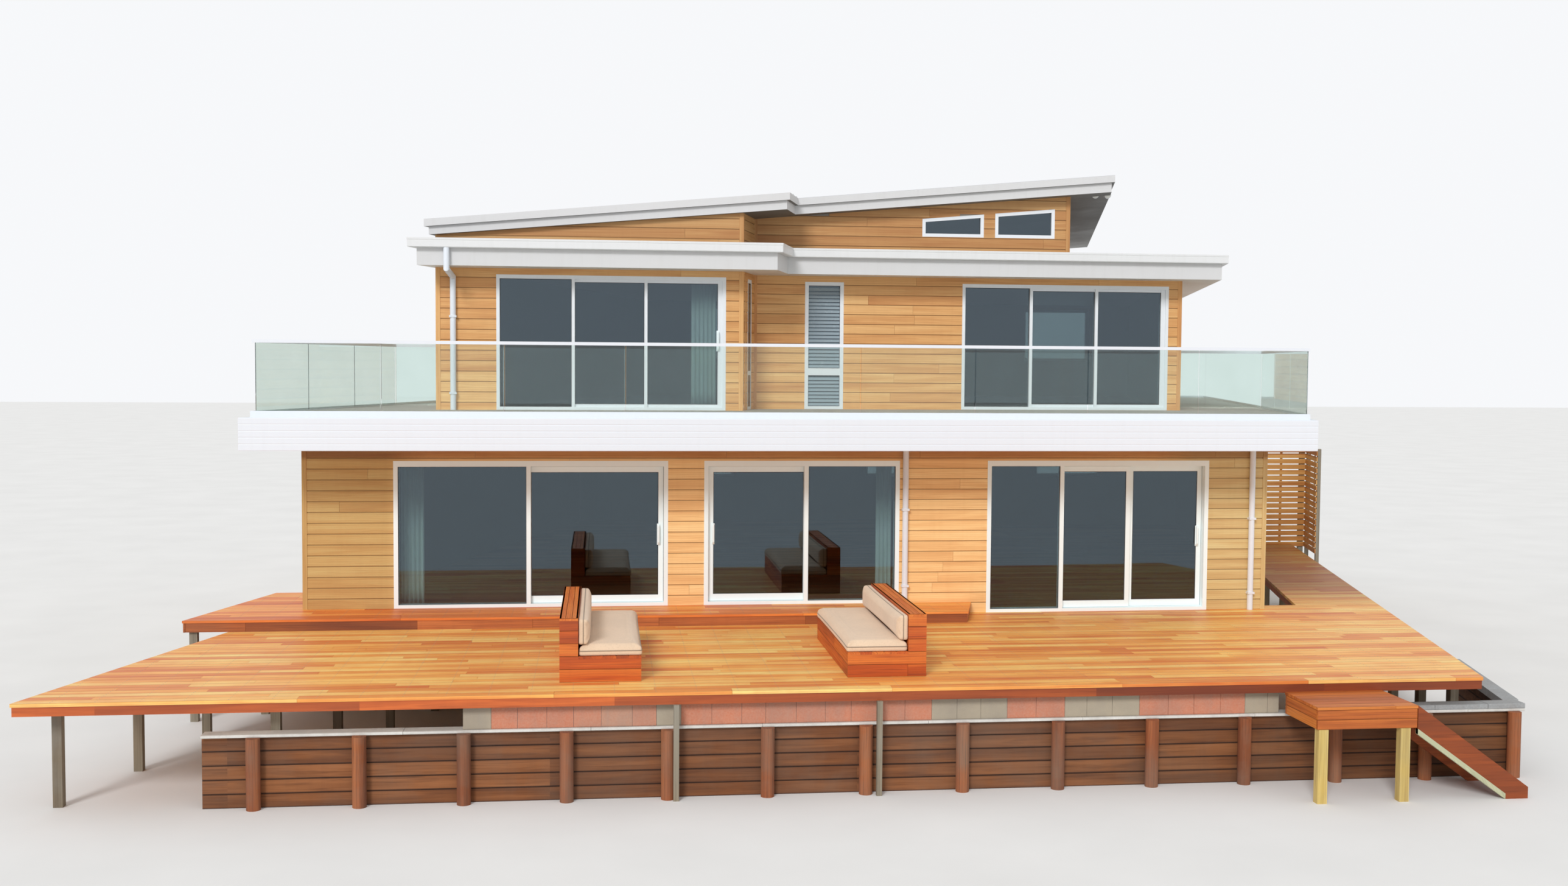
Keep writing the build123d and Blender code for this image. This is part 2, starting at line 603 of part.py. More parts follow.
save("deck_fascia", [
    leaning(DECK_LEFT + EDGE_IN, DECK_RIGHT - EDGE_IN, edge_y, edge_y + EDGE_T, *edge_z),
    leaning(DECK_LEFT + EDGE_IN, DECK_LEFT + EDGE_IN + EDGE_T, side0, -BUTT, *edge_z),
    leaning(DECK_RIGHT - EDGE_IN - EDGE_T, DECK_RIGHT - EDGE_IN, side0, WALK_D, *edge_z),
    leaning(well_u - EDGE_T, well_u, well_y + SNUG, WALK_D, *edge_z),
    leaning(RIGHT + BUTT, well_u, well_y - EDGE_T, well_y, *edge_z),
])

BEARER_W = 90
in0 = DECK_LEFT + EDGE_IN + EDGE_T + BUTT
in1 = DECK_RIGHT - EDGE_IN - EDGE_T - BUTT
walk0 = WALK_INNER + EDGE_IN + EDGE_T + BUTT
bearer_rows = [DECK_FRONT + 350 + i * (DECK_D - 760) / 3 for i in range(4)]
walk_rows = [300 + i * (WALK_D - 500) / 4 for i in range(5)]
bearers = [leaning(in0, in1, y, y + BEARER_W, *edge_z) for y in bearer_rows]
bearers += [leaning(walk0, in1, y, y + BEARER_W, *edge_z) for y in walk_rows]
save("deck_bearers", bearers)

POST_W = 100
post_top = edge_z[0]
posts = []
post_count = 8
for y in bearer_rows:
    for i in range(post_count):
        x = in0 + LEAN * y + 150 + i * (in1 - in0 - 400) / (post_count - 1)
        posts.append(block(x, x + POST_W, y - 5, y - 5 + POST_W, 0, post_top))
for y in walk_rows:
    for u in (walk0 + 60, in1 - 60 - POST_W):
        x = u + LEAN * y
        posts.append(block(x, x + POST_W, y - 5, y - 5 + POST_W, 0, post_top))
STEP_OVER = 1160               # how far the raised step reaches past the house's left corner
STEP_LEFT = LEFT - STEP_OVER
STEP_FRONT = -850
STEP_BACK = 1600
step_posts = [(STEP_FRONT + 60, DECK_Z), (400, DECK_Z), (STEP_BACK - 160, DECK_Z)]
for y, top in step_posts:
    x = STEP_LEFT + LEAN * y + 60
    posts.append(block(x, x + POST_W, y, y + POST_W, 0, top))

# Raised step in front of the two left units, wrapping the left corner of the house
step_right = door_units[2][0] - 220
save("deck_step", [
    leaning(STEP_LEFT, step_right, STEP_FRONT, UNIT_Y - 2, DECK_Z, RAISED_Z),
    leaning(STEP_LEFT, LEFT - BUTT, UNIT_Y - 2 + BUTT, STEP_BACK, DECK_Z, RAISED_Z),
])

# Retaining wall under the deck's front edge, with a return at its right end
WALL_LEFT = LEFT - WALL_OVER_LEFT
WALL_RIGHT = RIGHT + WALL_OVER_RIGHT    # right end of its cap
RET_Y = DECK_FRONT + WALL_BACK
RETURN_D = 2600
CAP_OVER = 60
BOARD_T = 50
BOARD_COUNT = 5
CAP_H = 32
COPING_H = 60                  # second, thicker cap at the right of the landing
CAP_Z = DECK_Z - WALL_DROP
board_step = CAP_Z / BOARD_COUNT
boards_right = WALL_RIGHT - CAP_OVER
return_u = boards_right - LEAN * RET_Y
boards = []
for i in range(BOARD_COUNT):
    z0 = i * board_step
    z1 = z0 + board_step - 5
    boards.append(block(WALL_LEFT, boards_right, RET_Y, RET_Y + BOARD_T, z0, z1))
    boards.append(leaning(return_u - BOARD_T, return_u, RET_Y + BOARD_T + SNUG, RET_Y + RETURN_D, z0, z1))
save("retaining_boards", boards)

POLE_R = 75
POLE_COUNT = 14
STAKE_W = 60                   # two slim stakes from the ground to the deck's edge board
pole_right = boards_right - POLE_R - 4
pole_left = WALL_LEFT + FIRST_POLE
pole_x = [pole_left + i * (pole_right - pole_left) / (POLE_COUNT - 1) for i in range(POLE_COUNT)]
save("retaining_posts", [Pos(x, RET_Y - POLE_R, CAP_Z / 2) * Cylinder(POLE_R, CAP_Z) for x in pole_x])
stake_y = DECK_FRONT - 35
for x in (pole_x[4] + 57, pole_x[6] + 106):
    posts.append(block(x, x + STAKE_W, stake_y, stake_y + STAKE_W, 0, post_top))

LAND_X = RIGHT - LANDING_IN
LAND_W = 1165
BAND_LEFT = LEFT + BAND_IN
BAND_RIGHT = LAND_X - 17
cap_y = (RET_Y - CAP_OVER, RET_Y + 140)
cap = block(WALL_LEFT, WALL_RIGHT, *cap_y, CAP_Z, CAP_Z + CAP_H)
cap += block(BAND_LEFT, BAND_RIGHT, RET_Y - 20, RET_Y + 120, CAP_Z + CAP_H - 1, post_top)
cap += block(LAND_X + LAND_W, WALL_RIGHT, *cap_y, CAP_Z + CAP_H - 1, CAP_Z + CAP_H + COPING_H)
COPING_Z = CAP_Z + CAP_H + COPING_H
cap += leaning(return_u - 140, return_u + CAP_OVER, cap_y[0], RET_Y + RETURN_D, CAP_Z, COPING_Z)
save("block_band", [cap])

# Two L-section benches facing each other, with loose cushions
BENCH_L = 2500
BENCH_W = 915
BENCH_IN = 600                 # from the deck's front edge to the benches
BENCH_Y = DECK_FRONT + BENCH_IN
SEAT_H = 290
BACK_H = 720
BACK_T = 210
CUSHION_T = 120
LOOSE = 0.3
benches = []
cushions = []
for x, mirror in ((-0.2395 * HOUSE_W, 1), (0.063 * HOUSE_W, -1)):
    back = sorted((x, x + mirror * BACK_T))
    seat = sorted((x, x + mirror * BENCH_W))
    y0 = BENCH_Y
    y1 = BENCH_Y + BENCH_L
    body = block(*seat, y0, y1, DECK_Z, DECK_Z + SEAT_H)
    body += block(*back, y0, y1, DECK_Z, DECK_Z + BACK_H)
    benches.append(body)
    face = x + mirror * (BACK_T + LOOSE)
    pad = sorted((face, x + mirror * (BENCH_W + 15)))
    seat_z = DECK_Z + SEAT_H + LOOSE
    cushions.append(block(*pad, y0 + 10, y1 - 10, seat_z, seat_z + CUSHION_T))
    pad = sorted((face, face + mirror * CUSHION_T))
    back_z = seat_z + CUSHION_T + LOOSE
    cushions.append(block(*pad, y0 + 10, y1 - 10, back_z, DECK_Z + BACK_H - 10))
save("benches", benches)
save("bench_cushions", cushions)

# Lower landing and the stair that runs down from it along the front
LAND_D = 800
LAND_Y0 = DECK_FRONT - LAND_D
LAND_Y1 = DECK_FRONT + EDGE_IN
LAND_Z = DECK_Z - 130
LAND_H = 250
save("landing", [block(LAND_X, LAND_X + LAND_W, LAND_Y0, LAND_Y1, LAND_Z - LAND_H, LAND_Z)])
LEG_W = 110
legs = []
for x in (LAND_X + 20, LAND_X + LAND_W - 195):
    legs.append(block(x, x + LEG_W, LAND_Y0, LAND_Y0 + POST_W, 0, LAND_Z - LAND_H))
save("landing_posts", legs)

RISERS = 6
RUN = 250
STRING_T = 45
STRING_H = 320
rise_h = LAND_Z / RISERS
pitch = rise_h / RUN
stair_x = LAND_X + LAND_W
stair_end = stair_x + RUN * (RISERS - 1) + 70
STAIR_Y1 = DECK_FRONT - 10
slope = [
    (stair_x, LAND_Z), (stair_x, LAND_Z - STRING_H), (stair_x + (LAND_Z - STRING_H) / pitch, 0),
    (stair_end, 0), (stair_end, LAND_Z - pitch * (stair_end - stair_x))]
save("stair_stringers", [
    profile(slope, LAND_Y0, LAND_Y0 + STRING_T),
    profile(slope, STAIR_Y1 - STRING_T, STAIR_Y1),
])
treads = []
for i in range(1, RISERS):
    x = stair_x + (i - 1) * RUN + 15
    z = LAND_Z - i * rise_h
    treads.append(block(x, x + RUN, LAND_Y0 + STRING_T, STAIR_Y1 - STRING_T, z - 40, z))
save("stair_treads", treads)

# Slatted screen across the end of the side walkway, and its short return
SCREEN_H = 2000
SLAT_H = 90
SLAT_STEP = 112
SLAT_T = 22
SLAT_COUNT = 18
BATTEN_W = 45
BATTEN_T = 20
SCREEN_OVER = 250              # how far the screen reaches past the walkway's outer edge
RETURN_L = 1200
RETURN_Y0 = WALK_D - RETURN_L
SCREEN_POST_T = 70
screen_top = DECK_Z + SCREEN_H
screen_u1 = DECK_RIGHT + SCREEN_OVER
x0 = RIGHT + LEAN * (WALK_D + 110) + 10
x1 = screen_u1 + LEAN * WALK_D
slat_z = [DECK_Z - 35 + i * SLAT_STEP for i in range(SLAT_COUNT)]
batten_z = (slat_z[0], slat_z[-1] + SLAT_H)
rear = [block(x0, x1, WALK_D, WALK_D + SLAT_T, z, z + SLAT_H) for z in slat_z]
batten_y = WALK_D + SLAT_T - 1
for part in (0.25, 0.75):
    x = x0 + (x1 - x0) * part
    rear.append(block(x, x + BATTEN_W, batten_y, batten_y + BATTEN_T, *batten_z))
save("side_screen", [rear[0].fuse(*rear[1:])])
for x in (x0, (x0 + x1 - POST_W) / 2, x1 - POST_W):
    posts.append(block(x, x + POST_W, WALK_D + SLAT_T, WALK_D + SLAT_T + SCREEN_POST_T, 0, screen_top))
side = [leaning(screen_u1, screen_u1 + SLAT_T, RETURN_Y0, WALK_D + SLAT_T, z, z + SLAT_H) for z in slat_z]
back_u = screen_u1 + SLAT_T
batten_u = back_u - 1
for y in (RETURN_Y0 + 300, WALK_D - 400):
    side.append(leaning(batten_u, batten_u + BATTEN_T, y, y + BATTEN_W, *batten_z))
save("screen_return", [side[0].fuse(*side[1:])])
for y in (RETURN_Y0, WALK_D - POST_W):
    posts.append(leaning(back_u, back_u + SCREEN_POST_T, y, y + POST_W, 0, screen_top))
save("deck_posts", posts)
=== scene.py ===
"""Two-storey timber beach house on a raised deck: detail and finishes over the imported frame."""

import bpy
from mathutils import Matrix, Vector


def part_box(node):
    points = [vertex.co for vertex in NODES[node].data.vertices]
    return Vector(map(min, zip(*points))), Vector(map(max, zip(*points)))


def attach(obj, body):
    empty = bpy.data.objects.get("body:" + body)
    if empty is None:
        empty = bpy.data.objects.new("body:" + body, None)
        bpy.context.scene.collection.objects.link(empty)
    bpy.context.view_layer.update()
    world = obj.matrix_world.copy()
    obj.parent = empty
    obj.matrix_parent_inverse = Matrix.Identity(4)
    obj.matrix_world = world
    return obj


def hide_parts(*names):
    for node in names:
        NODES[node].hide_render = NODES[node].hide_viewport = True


bl_info = {
    "name": "Beach house finishes",
    "version": (1, 0, 0),
    "blender": (4, 5, 0),
    "location": "View3D > Sidebar > Beach House",
    "description": "Boards, joinery, roofing, benches and finishes of a beach house over its CAD frame",
    "category": "Object",
}

import math
import random

import bmesh
import bpy
import numpy as np
from bpy.props import FloatProperty, FloatVectorProperty, IntProperty, PointerProperty
from mathutils import Matrix, Vector

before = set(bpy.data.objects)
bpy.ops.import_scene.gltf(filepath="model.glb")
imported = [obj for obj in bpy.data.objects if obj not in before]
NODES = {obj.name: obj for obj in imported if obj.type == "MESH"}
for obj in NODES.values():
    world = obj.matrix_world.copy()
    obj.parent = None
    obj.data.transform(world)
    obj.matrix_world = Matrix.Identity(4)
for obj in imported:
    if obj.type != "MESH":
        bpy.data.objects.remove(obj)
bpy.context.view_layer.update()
UP = Vector((0, 0, 1))
BACK = Vector((0, 1, 0))
FRONT = Vector((0, -1, 0))
ACROSS = Vector((1, 0, 0))


# Sizes and colours that a user may change


def shown(red, green, blue):
    """Colour typed as it shows on a display, 0 to 255, in the linear values Blender keeps."""
    parts = (red / 255, green / 255, blue / 255)
    return tuple(c / 12.92 if c <= 0.04045 else ((c + 0.055) / 1.055) ** 2.4 for c in parts)


def length(name, description, default):
    """A length in metres as a property."""
    return FloatProperty(name=name, description=description, default=default, min=0.0001, unit="LENGTH")


def colour(name, description, default):
    """A colour as a property, its default typed as it shows."""
    return FloatVectorProperty(name=name, description=description, default=shown(*default), size=3,
                               subtype="COLOR", min=0.0, max=1.0)


class HouseSizes(bpy.types.PropertyGroup):
    """Sizes of the boards, fixings and soft pieces."""

    cover: length("Weatherboard cover", "Height of one weatherboard on the wall", 0.150)
    board_depth: length("Weatherboard depth", "How far the weatherboards stand off the wall", 0.012)
    groove: length("Weatherboard groove", "Open line between two weatherboards", 0.010)
    corner_w: length("Corner board", "Width of the cedar corner boards", 0.048)
    deck_board: length("Deck board", "Width of one deck board with its gap", 0.145)
    deck_gap: length("Deck gap", "Gap between two deck boards", 0.006)
    deck_len: length("Deck board length", "Longest deck board", 3.2)
    bench_board: length("Bench board", "Height of one bench board", 0.145)
    screw_r: length("Screw head", "Radius of a deck screw's head", 0.0055)
    joist_step: length("Joist step", "Distance between two rows of deck screws", 0.45)
    blade_step: length("Louvre step", "Distance between two louvre blades", 0.056)
    rib_step: length("Roof rib step", "Distance between two ribs of the roof sheet", 0.30)
    block_len: length("Block length", "Length of one block of the low band", 0.30)
    piping_r: length("Piping", "Radius of the piping on the cushions", 0.006)
    bracket_step: length("Pipe bracket step", "Distance between two pipe brackets", 1.1)


class HouseColours(bpy.types.PropertyGroup):
    """Colours of the finishes."""

    cedar_light: colour("Cedar light", "Light streaks of the weatherboards", (240, 196, 134))
    cedar: colour("Cedar", "Middle tone of the weatherboards", (222, 166, 104))
    cedar_dark: colour("Cedar dark", "Dark streaks of the weatherboards", (182, 114, 60))
    # The lower weatherboards are paler than the upper ones: painted light on the wall under the balcony
    pale_cedar: colour("Pale cedar", "Middle tone of the sun-bleached lower weatherboards", (247, 203, 139))
    deck_light: colour("Deck light", "Light deck boards", (255, 224, 136))
    deck: colour("Deck", "Middle tone of the deck boards", (255, 190, 96))
    deck_dark: colour("Deck dark", "Dark deck boards", (204, 92, 34))
    bench: colour("Bench", "Middle tone of the benches", (198, 88, 24))
    edge: colour("Edge boards", "Middle tone of the boards along the deck's edge", (208, 102, 42))
    # White metal and joinery are cool whites, partly the paint's own tint and partly painted light that
    # cancels the deck's warm bounce
    white: colour("White metal", "Balcony fascia and pipes", (226, 232, 240))
    grey_white: colour("Roof metal", "Roof fascias", (212, 212, 213))
    joinery: colour("Joinery", "Window frames", (234, 238, 243))
    soffit: colour("Soffit", "Lining under the top roof", (100, 99, 94))
    eave: colour("Eave lining", "Lining under the lower roof and the balcony", (226, 220, 212))
    sheet: colour("Roof sheet", "Top of the roofs", (190, 194, 198))
    cushion: colour("Cushion", "Cloth of the bench cushions", (227, 199, 170))
    block: colour("Block", "Pinkish blocks of the low band", (198, 122, 92))
    cap: colour("Cap", "Pale cap under the blocks", (214, 212, 206))
    retaining: colour("Retaining", "Old boards of the low wall", (126, 74, 36))
    pale_post: colour("Pale post", "Treated pine posts", (214, 184, 100))
    sheer: colour("Sheer", "Curtains behind the glass", (250, 252, 240))


class StageSettings(bpy.types.PropertyGroup):
    """Camera and light."""

    lens: FloatProperty(name="Lens", description="Focal length in millimetres", default=35.217, min=10)
    sun: FloatProperty(name="Sun", description="Strength of the soft key light", default=1.74, min=0)
    sky: FloatProperty(name="Sky", description="Strength of the even light all round", default=0.69, min=0)
    sun_width: FloatProperty(name="Sun width", description="Angle of the key light", default=math.radians(16),
                             subtype="ANGLE")
    seed: IntProperty(name="Seed", description="Seed for board tones and joints", default=7)


# The frame's faces, read from its meshes


def triangles(names):
    """Corner points of every triangle of these CAD nodes, n x 3 x 3."""
    found = []
    for name in names:
        mesh = NODES[name].data
        points = np.empty(len(mesh.vertices) * 3)
        mesh.vertices.foreach_get("co", points)
        mesh.calc_loop_triangles()
        index = np.empty(len(mesh.loop_triangles) * 3, np.int32)
        mesh.loop_triangles.foreach_get("vertices", index)
        found.append(points.reshape(-1, 3)[index.reshape(-1, 3)])
    return np.concatenate(found)


def facets(names):
    """Triangles of these CAD nodes with their unit normals and areas, slivers left out."""
    tris = triangles(names)
    cross = np.cross(tris[:, 1] - tris[:, 0], tris[:, 2] - tris[:, 0])
    size = np.linalg.norm(cross, axis=1)
    keep = size > 1e-9
    return tris[keep], cross[keep] / size[keep, None], size[keep] / 2


def solids(name):
    """Lowest and highest corner of each solid of a CAD node, from left to right."""
    corners = triangles([name])
    keys = [[tuple(point) for point in tri] for tri in np.round(corners * 5000).astype(int).tolist()]
    root = {}

    def top(key):
        while root.setdefault(key, key) != key:
            root[key] = root[root[key]]
            key = root[key]
        return key

    for a, b, c in keys:
        root[top(a)] = top(b)
        root[top(b)] = top(c)
    groups = {}
    for tri, key in zip(corners, keys):
        groups.setdefault(top(key[0]), []).append(tri)
    boxes = []
    for group in groups.values():
        points = np.array(group).reshape(-1, 3)
        boxes.append((Vector(points.min(0)), Vector(points.max(0))))
    return sorted(boxes, key=lambda box: (round(box[0].x, 3), round(box[0].y, 3), box[0].z))


class Face:
    """One flat face of the frame. Boards run along it and are stacked up it."""

    def __init__(self, tris, normal, stack):
        self.normal = Vector(normal).normalized()
        self.up = Vector(stack)
        self.along = self.up.cross(self.normal).normalized()
        self.offset = float(tris[0, 0] @ np.array(self.normal))
        self.flat = np.stack([tris @ np.array(self.along), tris @ np.array(self.up)], axis=2)

    def place(self, u, v, d):
        """Point in the frame: u along, v up the stack and d off the face."""
        return self.along * u + self.up * v + self.normal * (self.offset + d)

    def reach(self):
        """Lowest and highest u, then lowest and highest v."""
        u, v = self.flat[:, :, 0], self.flat[:, :, 1]
        return u.min(), u.max(), v.min(), v.max()

    def between(self, low, high):
        """The same face, with only the triangles whose middle lies between two levels."""
        middle = self.flat[:, :, 1].mean(axis=1)
        self.flat = self.flat[(middle > low) & (middle < high)]
        return self

    def spans(self, level):
        """Stretches that the face covers along the line at one level."""
        cuts = []
        for tri in self.flat:
            v = tri[:, 1]
            if not v.min() < level < v.max():
                continue
            ends = []
            for a, b in ((0, 1), (1, 2), (2, 0)):
                if (v[a] - level) * (v[b] - level) < 0:
                    share = (level - v[a]) / (v[b] - v[a])
                    ends.append(tri[a, 0] + share * (tri[b, 0] - tri[a, 0]))
            if len(ends) == 2:
                cuts.append(sorted(ends))
        joined = []
        for start, end in sorted(cuts):
            if joined and start < joined[-1][1] + 0.004:
                joined[-1][1] = max(joined[-1][1], end)
            else:
                joined.append([start, end])
        return [span for span in joined if span[1] - span[0] > 0.001]

    def bands(self, low, high):
        """The band between two levels, cut wherever the outline turns."""
        turns = []
        for v in sorted(set(np.round(self.flat[:, :, 1].ravel(), 4))):
            if low + 0.003 < v < high - 0.003 and (not turns or v - turns[-1] > 0.002):
                turns.append(float(v))
        levels = [low] + turns + [high]
        for p, q in zip(levels, levels[1:]):
            foot = self.spans(p + 0.0003)
            head = self.spans(q - 0.0003)
            if len(foot) != len(head):
                foot = head = self.spans((p + q) / 2)
            yield p, q, foot, head


def face_of(names, normal, near=None, stack=UP):
    """Flat face of these nodes that looks along normal: the outermost one, or the one nearest
    to an offset."""
    tris, units, _ = facets(names)
    unit = np.array(Vector(normal).normalized())
    tris = tris[units @ unit > 0.9995]
    if not len(tris):
        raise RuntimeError(f"no face of {names} looks along {tuple(normal)}")
    offsets = tris.mean(axis=1) @ unit
    aim = offsets.max() if near is None else near
    best = offsets[np.argmin(abs(offsets - aim))]
    return Face(tris[abs(offsets - best) < 0.002], unit, stack)


def surface_at(name, axis, p, q):
    """Lowest value along an axis of a node's surface over the point p, q of the other two axes."""
    i, j = [k for k in range(3) if k != axis]
    found = []
    for a, b, c in triangles([name]):
        area = (b[i] - a[i]) * (c[j] - a[j]) - (b[j] - a[j]) * (c[i] - a[i])
        if abs(area) < 1e-9:
            continue
        s = ((p - a[i]) * (c[j] - a[j]) - (q - a[j]) * (c[i] - a[i])) / area
        t = ((b[i] - a[i]) * (q - a[j]) - (b[j] - a[j]) * (p - a[i])) / area
        if s >= 0 and t >= 0 and s + t <= 1:
            found.append(a[axis] + s * (b[axis] - a[axis]) + t * (c[axis] - a[axis]))
    if not found:
        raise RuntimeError(f"{name} has no face over {p}, {q}")
    return min(found)


def outline_of(face):
    """Corners of a face in its own u and v, counter-clockwise."""
    edges = set()
    for tri in face.flat:
        keys = [tuple(np.round(point, 4)) for point in tri]
        for a, b in ((0, 1), (1, 2), (2, 0)):
            if (keys[b], keys[a]) in edges:
                edges.remove((keys[b], keys[a]))
            else:
                edges.add((keys[a], keys[b]))
    follow = dict(edges)
    loop = [min(follow)]
    while follow[loop[-1]] != loop[0]:
        loop.append(follow[loop[-1]])
    corners = []
    for i, point in enumerate(loop):
        before = np.subtract(point, loop[i - 1])
        after = np.subtract(loop[(i + 1) % len(loop)], point)
        if abs(before[0] * after[1] - before[1] * after[0]) > 1e-5:
            corners.append(point)
    area = sum(a[0] * b[1] - b[0] * a[1] for a, b in zip(corners, corners[1:] + corners[:1]))
    return corners if area > 0 else corners[::-1]


def plan_of(name):
    """Outline of a node's level top, counter-clockwise from above."""
    return outline_of(face_of([name], UP, stack=BACK))


def side_normals():
    """Outward directions of the leaning right and left sides, from the balcony's outline."""
    plan = plan_of("balcony_slab")
    start, end = max(zip(plan, plan[1:] + plan[:1]), key=lambda edge: edge[0][0] + edge[1][0])
    run = (Vector(end) - Vector(start)).normalized()
    if run.y < 0:
        run = -run
    right = Vector((run.y, -run.x, 0))
    return right, -right


# Meshes


SUNK = -0.002            # boards reach this far into the solid behind them
LINE_DEPTH = 0.004       # a board's faces deeper than this below its front are its shaded line
SHADED = 2.0             # tone of that line, past the tones of the boards
JOINT = 0.0012           # half the gap where two boards of a row meet
SHORTEST = 0.2           # no joint nearer than this to the end of a row


class Stock:
    """Collects solid pieces of one material as a single mesh. Each board has its own tone, and a
    UV map that runs along it, so that grain follows the board."""

    def __init__(self):
        self.points = []
        self.faces = []
        self.grain = []
        self.tones = []

    def add(self, points, faces, tone=0.5, grain=None):
        """One closed solid. Faces are turned outwards by its volume."""
        base = len(self.points)
        volume = 0.0
        middle = sum(points, Vector()) / len(points)
        for face in faces:
            a = points[face[0]] - middle
            for i in range(1, len(face) - 1):
                volume += a.dot((points[face[i]] - middle).cross(points[face[i + 1]] - middle))
        for index, face in enumerate(faces):
            uv = grain[index] if grain else [(points[i].x + points[i].y, points[i].z) for i in face]
            order = list(range(len(face)))
            if volume < 0:
                order.reverse()
            self.faces.append([base + face[i] for i in order])
            self.grain.extend(uv[i] for i in order)
            self.tones.append(tone[index] if isinstance(tone, list) else tone)
        self.points.extend(points)

    def prism(self, ring0, ring1, tone=0.5):
        """Solid between two equal rings of points, grain running from one to the other."""
        n = len(ring0)
        run = [0.0]
        for i in range(n):
            run.append(run[-1] + (ring0[(i + 1) % n] - ring0[i]).length)
        axis = (ring1[0] - ring0[0]).normalized()
        faces = []
        grain = []
        for i in range(n):
            j = (i + 1) % n
            faces.append([i, j, n + j, n + i])
            corners = ((ring0[i], run[i]), (ring0[j], run[i + 1]), (ring1[j], run[i + 1]), (ring1[i], run[i]))
            grain.append([(point.dot(axis), v) for point, v in corners])
        for shift, order in ((0, range(n - 1, -1, -1)), (n, range(n))):
            faces.append([shift + i for i in order])
            grain.append([(0.02 * i, run[i]) for i in order])
        self.add(list(ring0) + list(ring1), faces, tone, grain)

    def box(self, low, high, tone=0.5, chamfer=0.0, axis=0):
        """Square bar between two corners, its long edges along axis taken off by chamfer."""
        low, high = Vector(low), Vector(high)
        a, b = [i for i in range(3) if i != axis]
        c = chamfer
        section = [
            (low[a] + c, low[b]), (high[a] - c, low[b]), (high[a], low[b] + c), (high[a], high[b] - c),
            (high[a] - c, high[b]), (low[a] + c, high[b]), (low[a], high[b] - c), (low[a], low[b] + c)]
        if c <= 0:
            section = section[::2]
        rings = []
        for end in (low[axis], high[axis]):
            ring = []
            for p, q in section:
                point = Vector()
                point[axis], point[a], point[b] = end, p, q
                ring.append(point)
            rings.append(ring)
        self.prism(*rings, tone)

    def board(self, face, p, q, left, right, section, base, tone):
        """Board over a face between levels p and q; left and right give u at p and at q. The open
        line along a weatherboard's upper edge is shaded, and so are the eased edges of a flat board."""
        rings = []
        for foot, head in (left, right):
            ring = []
            for v, d in section:
                share = (base + v - p) / (q - p)
                ring.append(face.place(foot + (head - foot) * share, base + v, d))
            rings.append(ring)
        deep = max(d for _, d in section) > LINE_DEPTH * 2
        tones = []
        for (_, d0), (_, d1) in zip(section, section[1:] + section[:1]):
            shaded = min(d0, d1) < LINE_DEPTH if deep else 0.001 < abs(d0 - d1) < LINE_DEPTH
            tones.append(SHADED if shaded else tone)
        self.prism(*rings, tones + [tone, tone])

    def tube(self, path, radius, sides=10, closed=False):
        """Round tube along a path."""
        path = [Vector(point) for point in path]
        n = len(path)
        points = []
        side = None
        for i, point in enumerate(path):
            before = path[i - 1] if closed or i else path[0]
            after = path[(i + 1) % n] if closed or i < n - 1 else path[-1]
            axis = (after - before).normalized()
            if side is None:
                side = axis.orthogonal().normalized()
            side = (side - axis * side.dot(axis)).normalized()
            other = axis.cross(side)
            for k in range(sides):
                turn = 2 * math.pi * k / sides
                points.append(point + (side * math.cos(turn) + other * math.sin(turn)) * radius)
        faces = []
        for i in range(n if closed else n - 1):
            j = (i + 1) % n
            for k in range(sides):
                m = (k + 1) % sides
                faces.append([i * sides + k, i * sides + m, j * sides + m, j * sides + k])
        if not closed:
            faces.append(list(reversed(range(sides))))
            faces.append([(n - 1) * sides + k for k in range(sides)])
        self.add(points, faces)

    def rim(self, plan, section):
        """Closed section of (out, z) carried round a plan outline with mitred corners."""
        points = [Vector((x, y, z)) for out, z in section for x, y in widened(plan, out)]
        n = len(plan)
        m = len(section)
        faces = []
        grain = []
        for i in range(m):
            for k in range(n):
                j = (k + 1) % n
                quad = [i * n + k, i * n + j, ((i + 1) % m) * n + j, ((i + 1) % m) * n + k]
                faces.append(quad)
                axis = (points[quad[1]] - points[quad[0]]).normalized()
                grain.append([(points[c].dot(axis), points[c].z) for c in quad])
        self.add(points, faces, 0.5, grain)

    def finish(self, name, finish, slot, body="house", replaces=(), smooth=False):
        """The collected solids as one object that rides on a body."""
        mesh = bpy.data.meshes.new(name)
        mesh.from_pydata([tuple(point) for point in self.points], [], self.faces)
        layer = mesh.uv_layers.new(name="grain")
        layer.data.foreach_set("uv", np.array(self.grain, np.float32).ravel())
        tone = mesh.attributes.new("tone", "FLOAT", "FACE")
        tone.data.foreach_set("value", np.array(self.tones, np.float32))
        mesh.polygons.foreach_set("use_smooth", [smooth] * len(mesh.polygons))
        mesh.materials.append(FINISH[finish])
        mesh.update()
        return carried(name, mesh, body, replaces)


def carried(name, mesh, body="house", replaces=()):
    """Object for a finished mesh, riding on its body."""
    piece = bpy.data.objects.new(name, mesh)
    bpy.context.scene.collection.objects.link(piece)
    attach(piece, body)
    if replaces:
        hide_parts(*replaces)
    return piece


def widened(plan, out):
    """Closed plan outline moved outwards, corners kept sharp."""
    moved = []
    for i, point in enumerate(plan):
        here = Vector(point)
        a = (here - Vector(plan[i - 1])).normalized()
        b = (Vector(plan[(i + 1) % len(plan)]) - here).normalized()
        na = Vector((a.y, -a.x))
        nb = Vector((b.y, -b.x))
        moved.append(tuple(here + (na + nb) * (out / (1 + na.dot(nb)))))
    return moved


def clipped(front, low, high):
    """Part of a board's front profile between two heights."""
    kept = []
    for (v0, d0), (v1, d1) in zip(front, front[1:]):
        if v1 < low - 1e-6 or v0 > high + 1e-6:
            continue
        for v in (max(v0, low), min(v1, high)):
            if v1 - v0 > 1e-9:
                point = (v, d0 + (d1 - d0) * (v - v0) / (v1 - v0))
            else:
                point = (v, d0 if v == max(v0, low) and not (kept and kept[-1] == (v0, d0)) else d1)
            if not kept or max(abs(kept[-1][0] - point[0]), abs(kept[-1][1] - point[1])) > 1e-6:
                kept.append(point)
    return kept


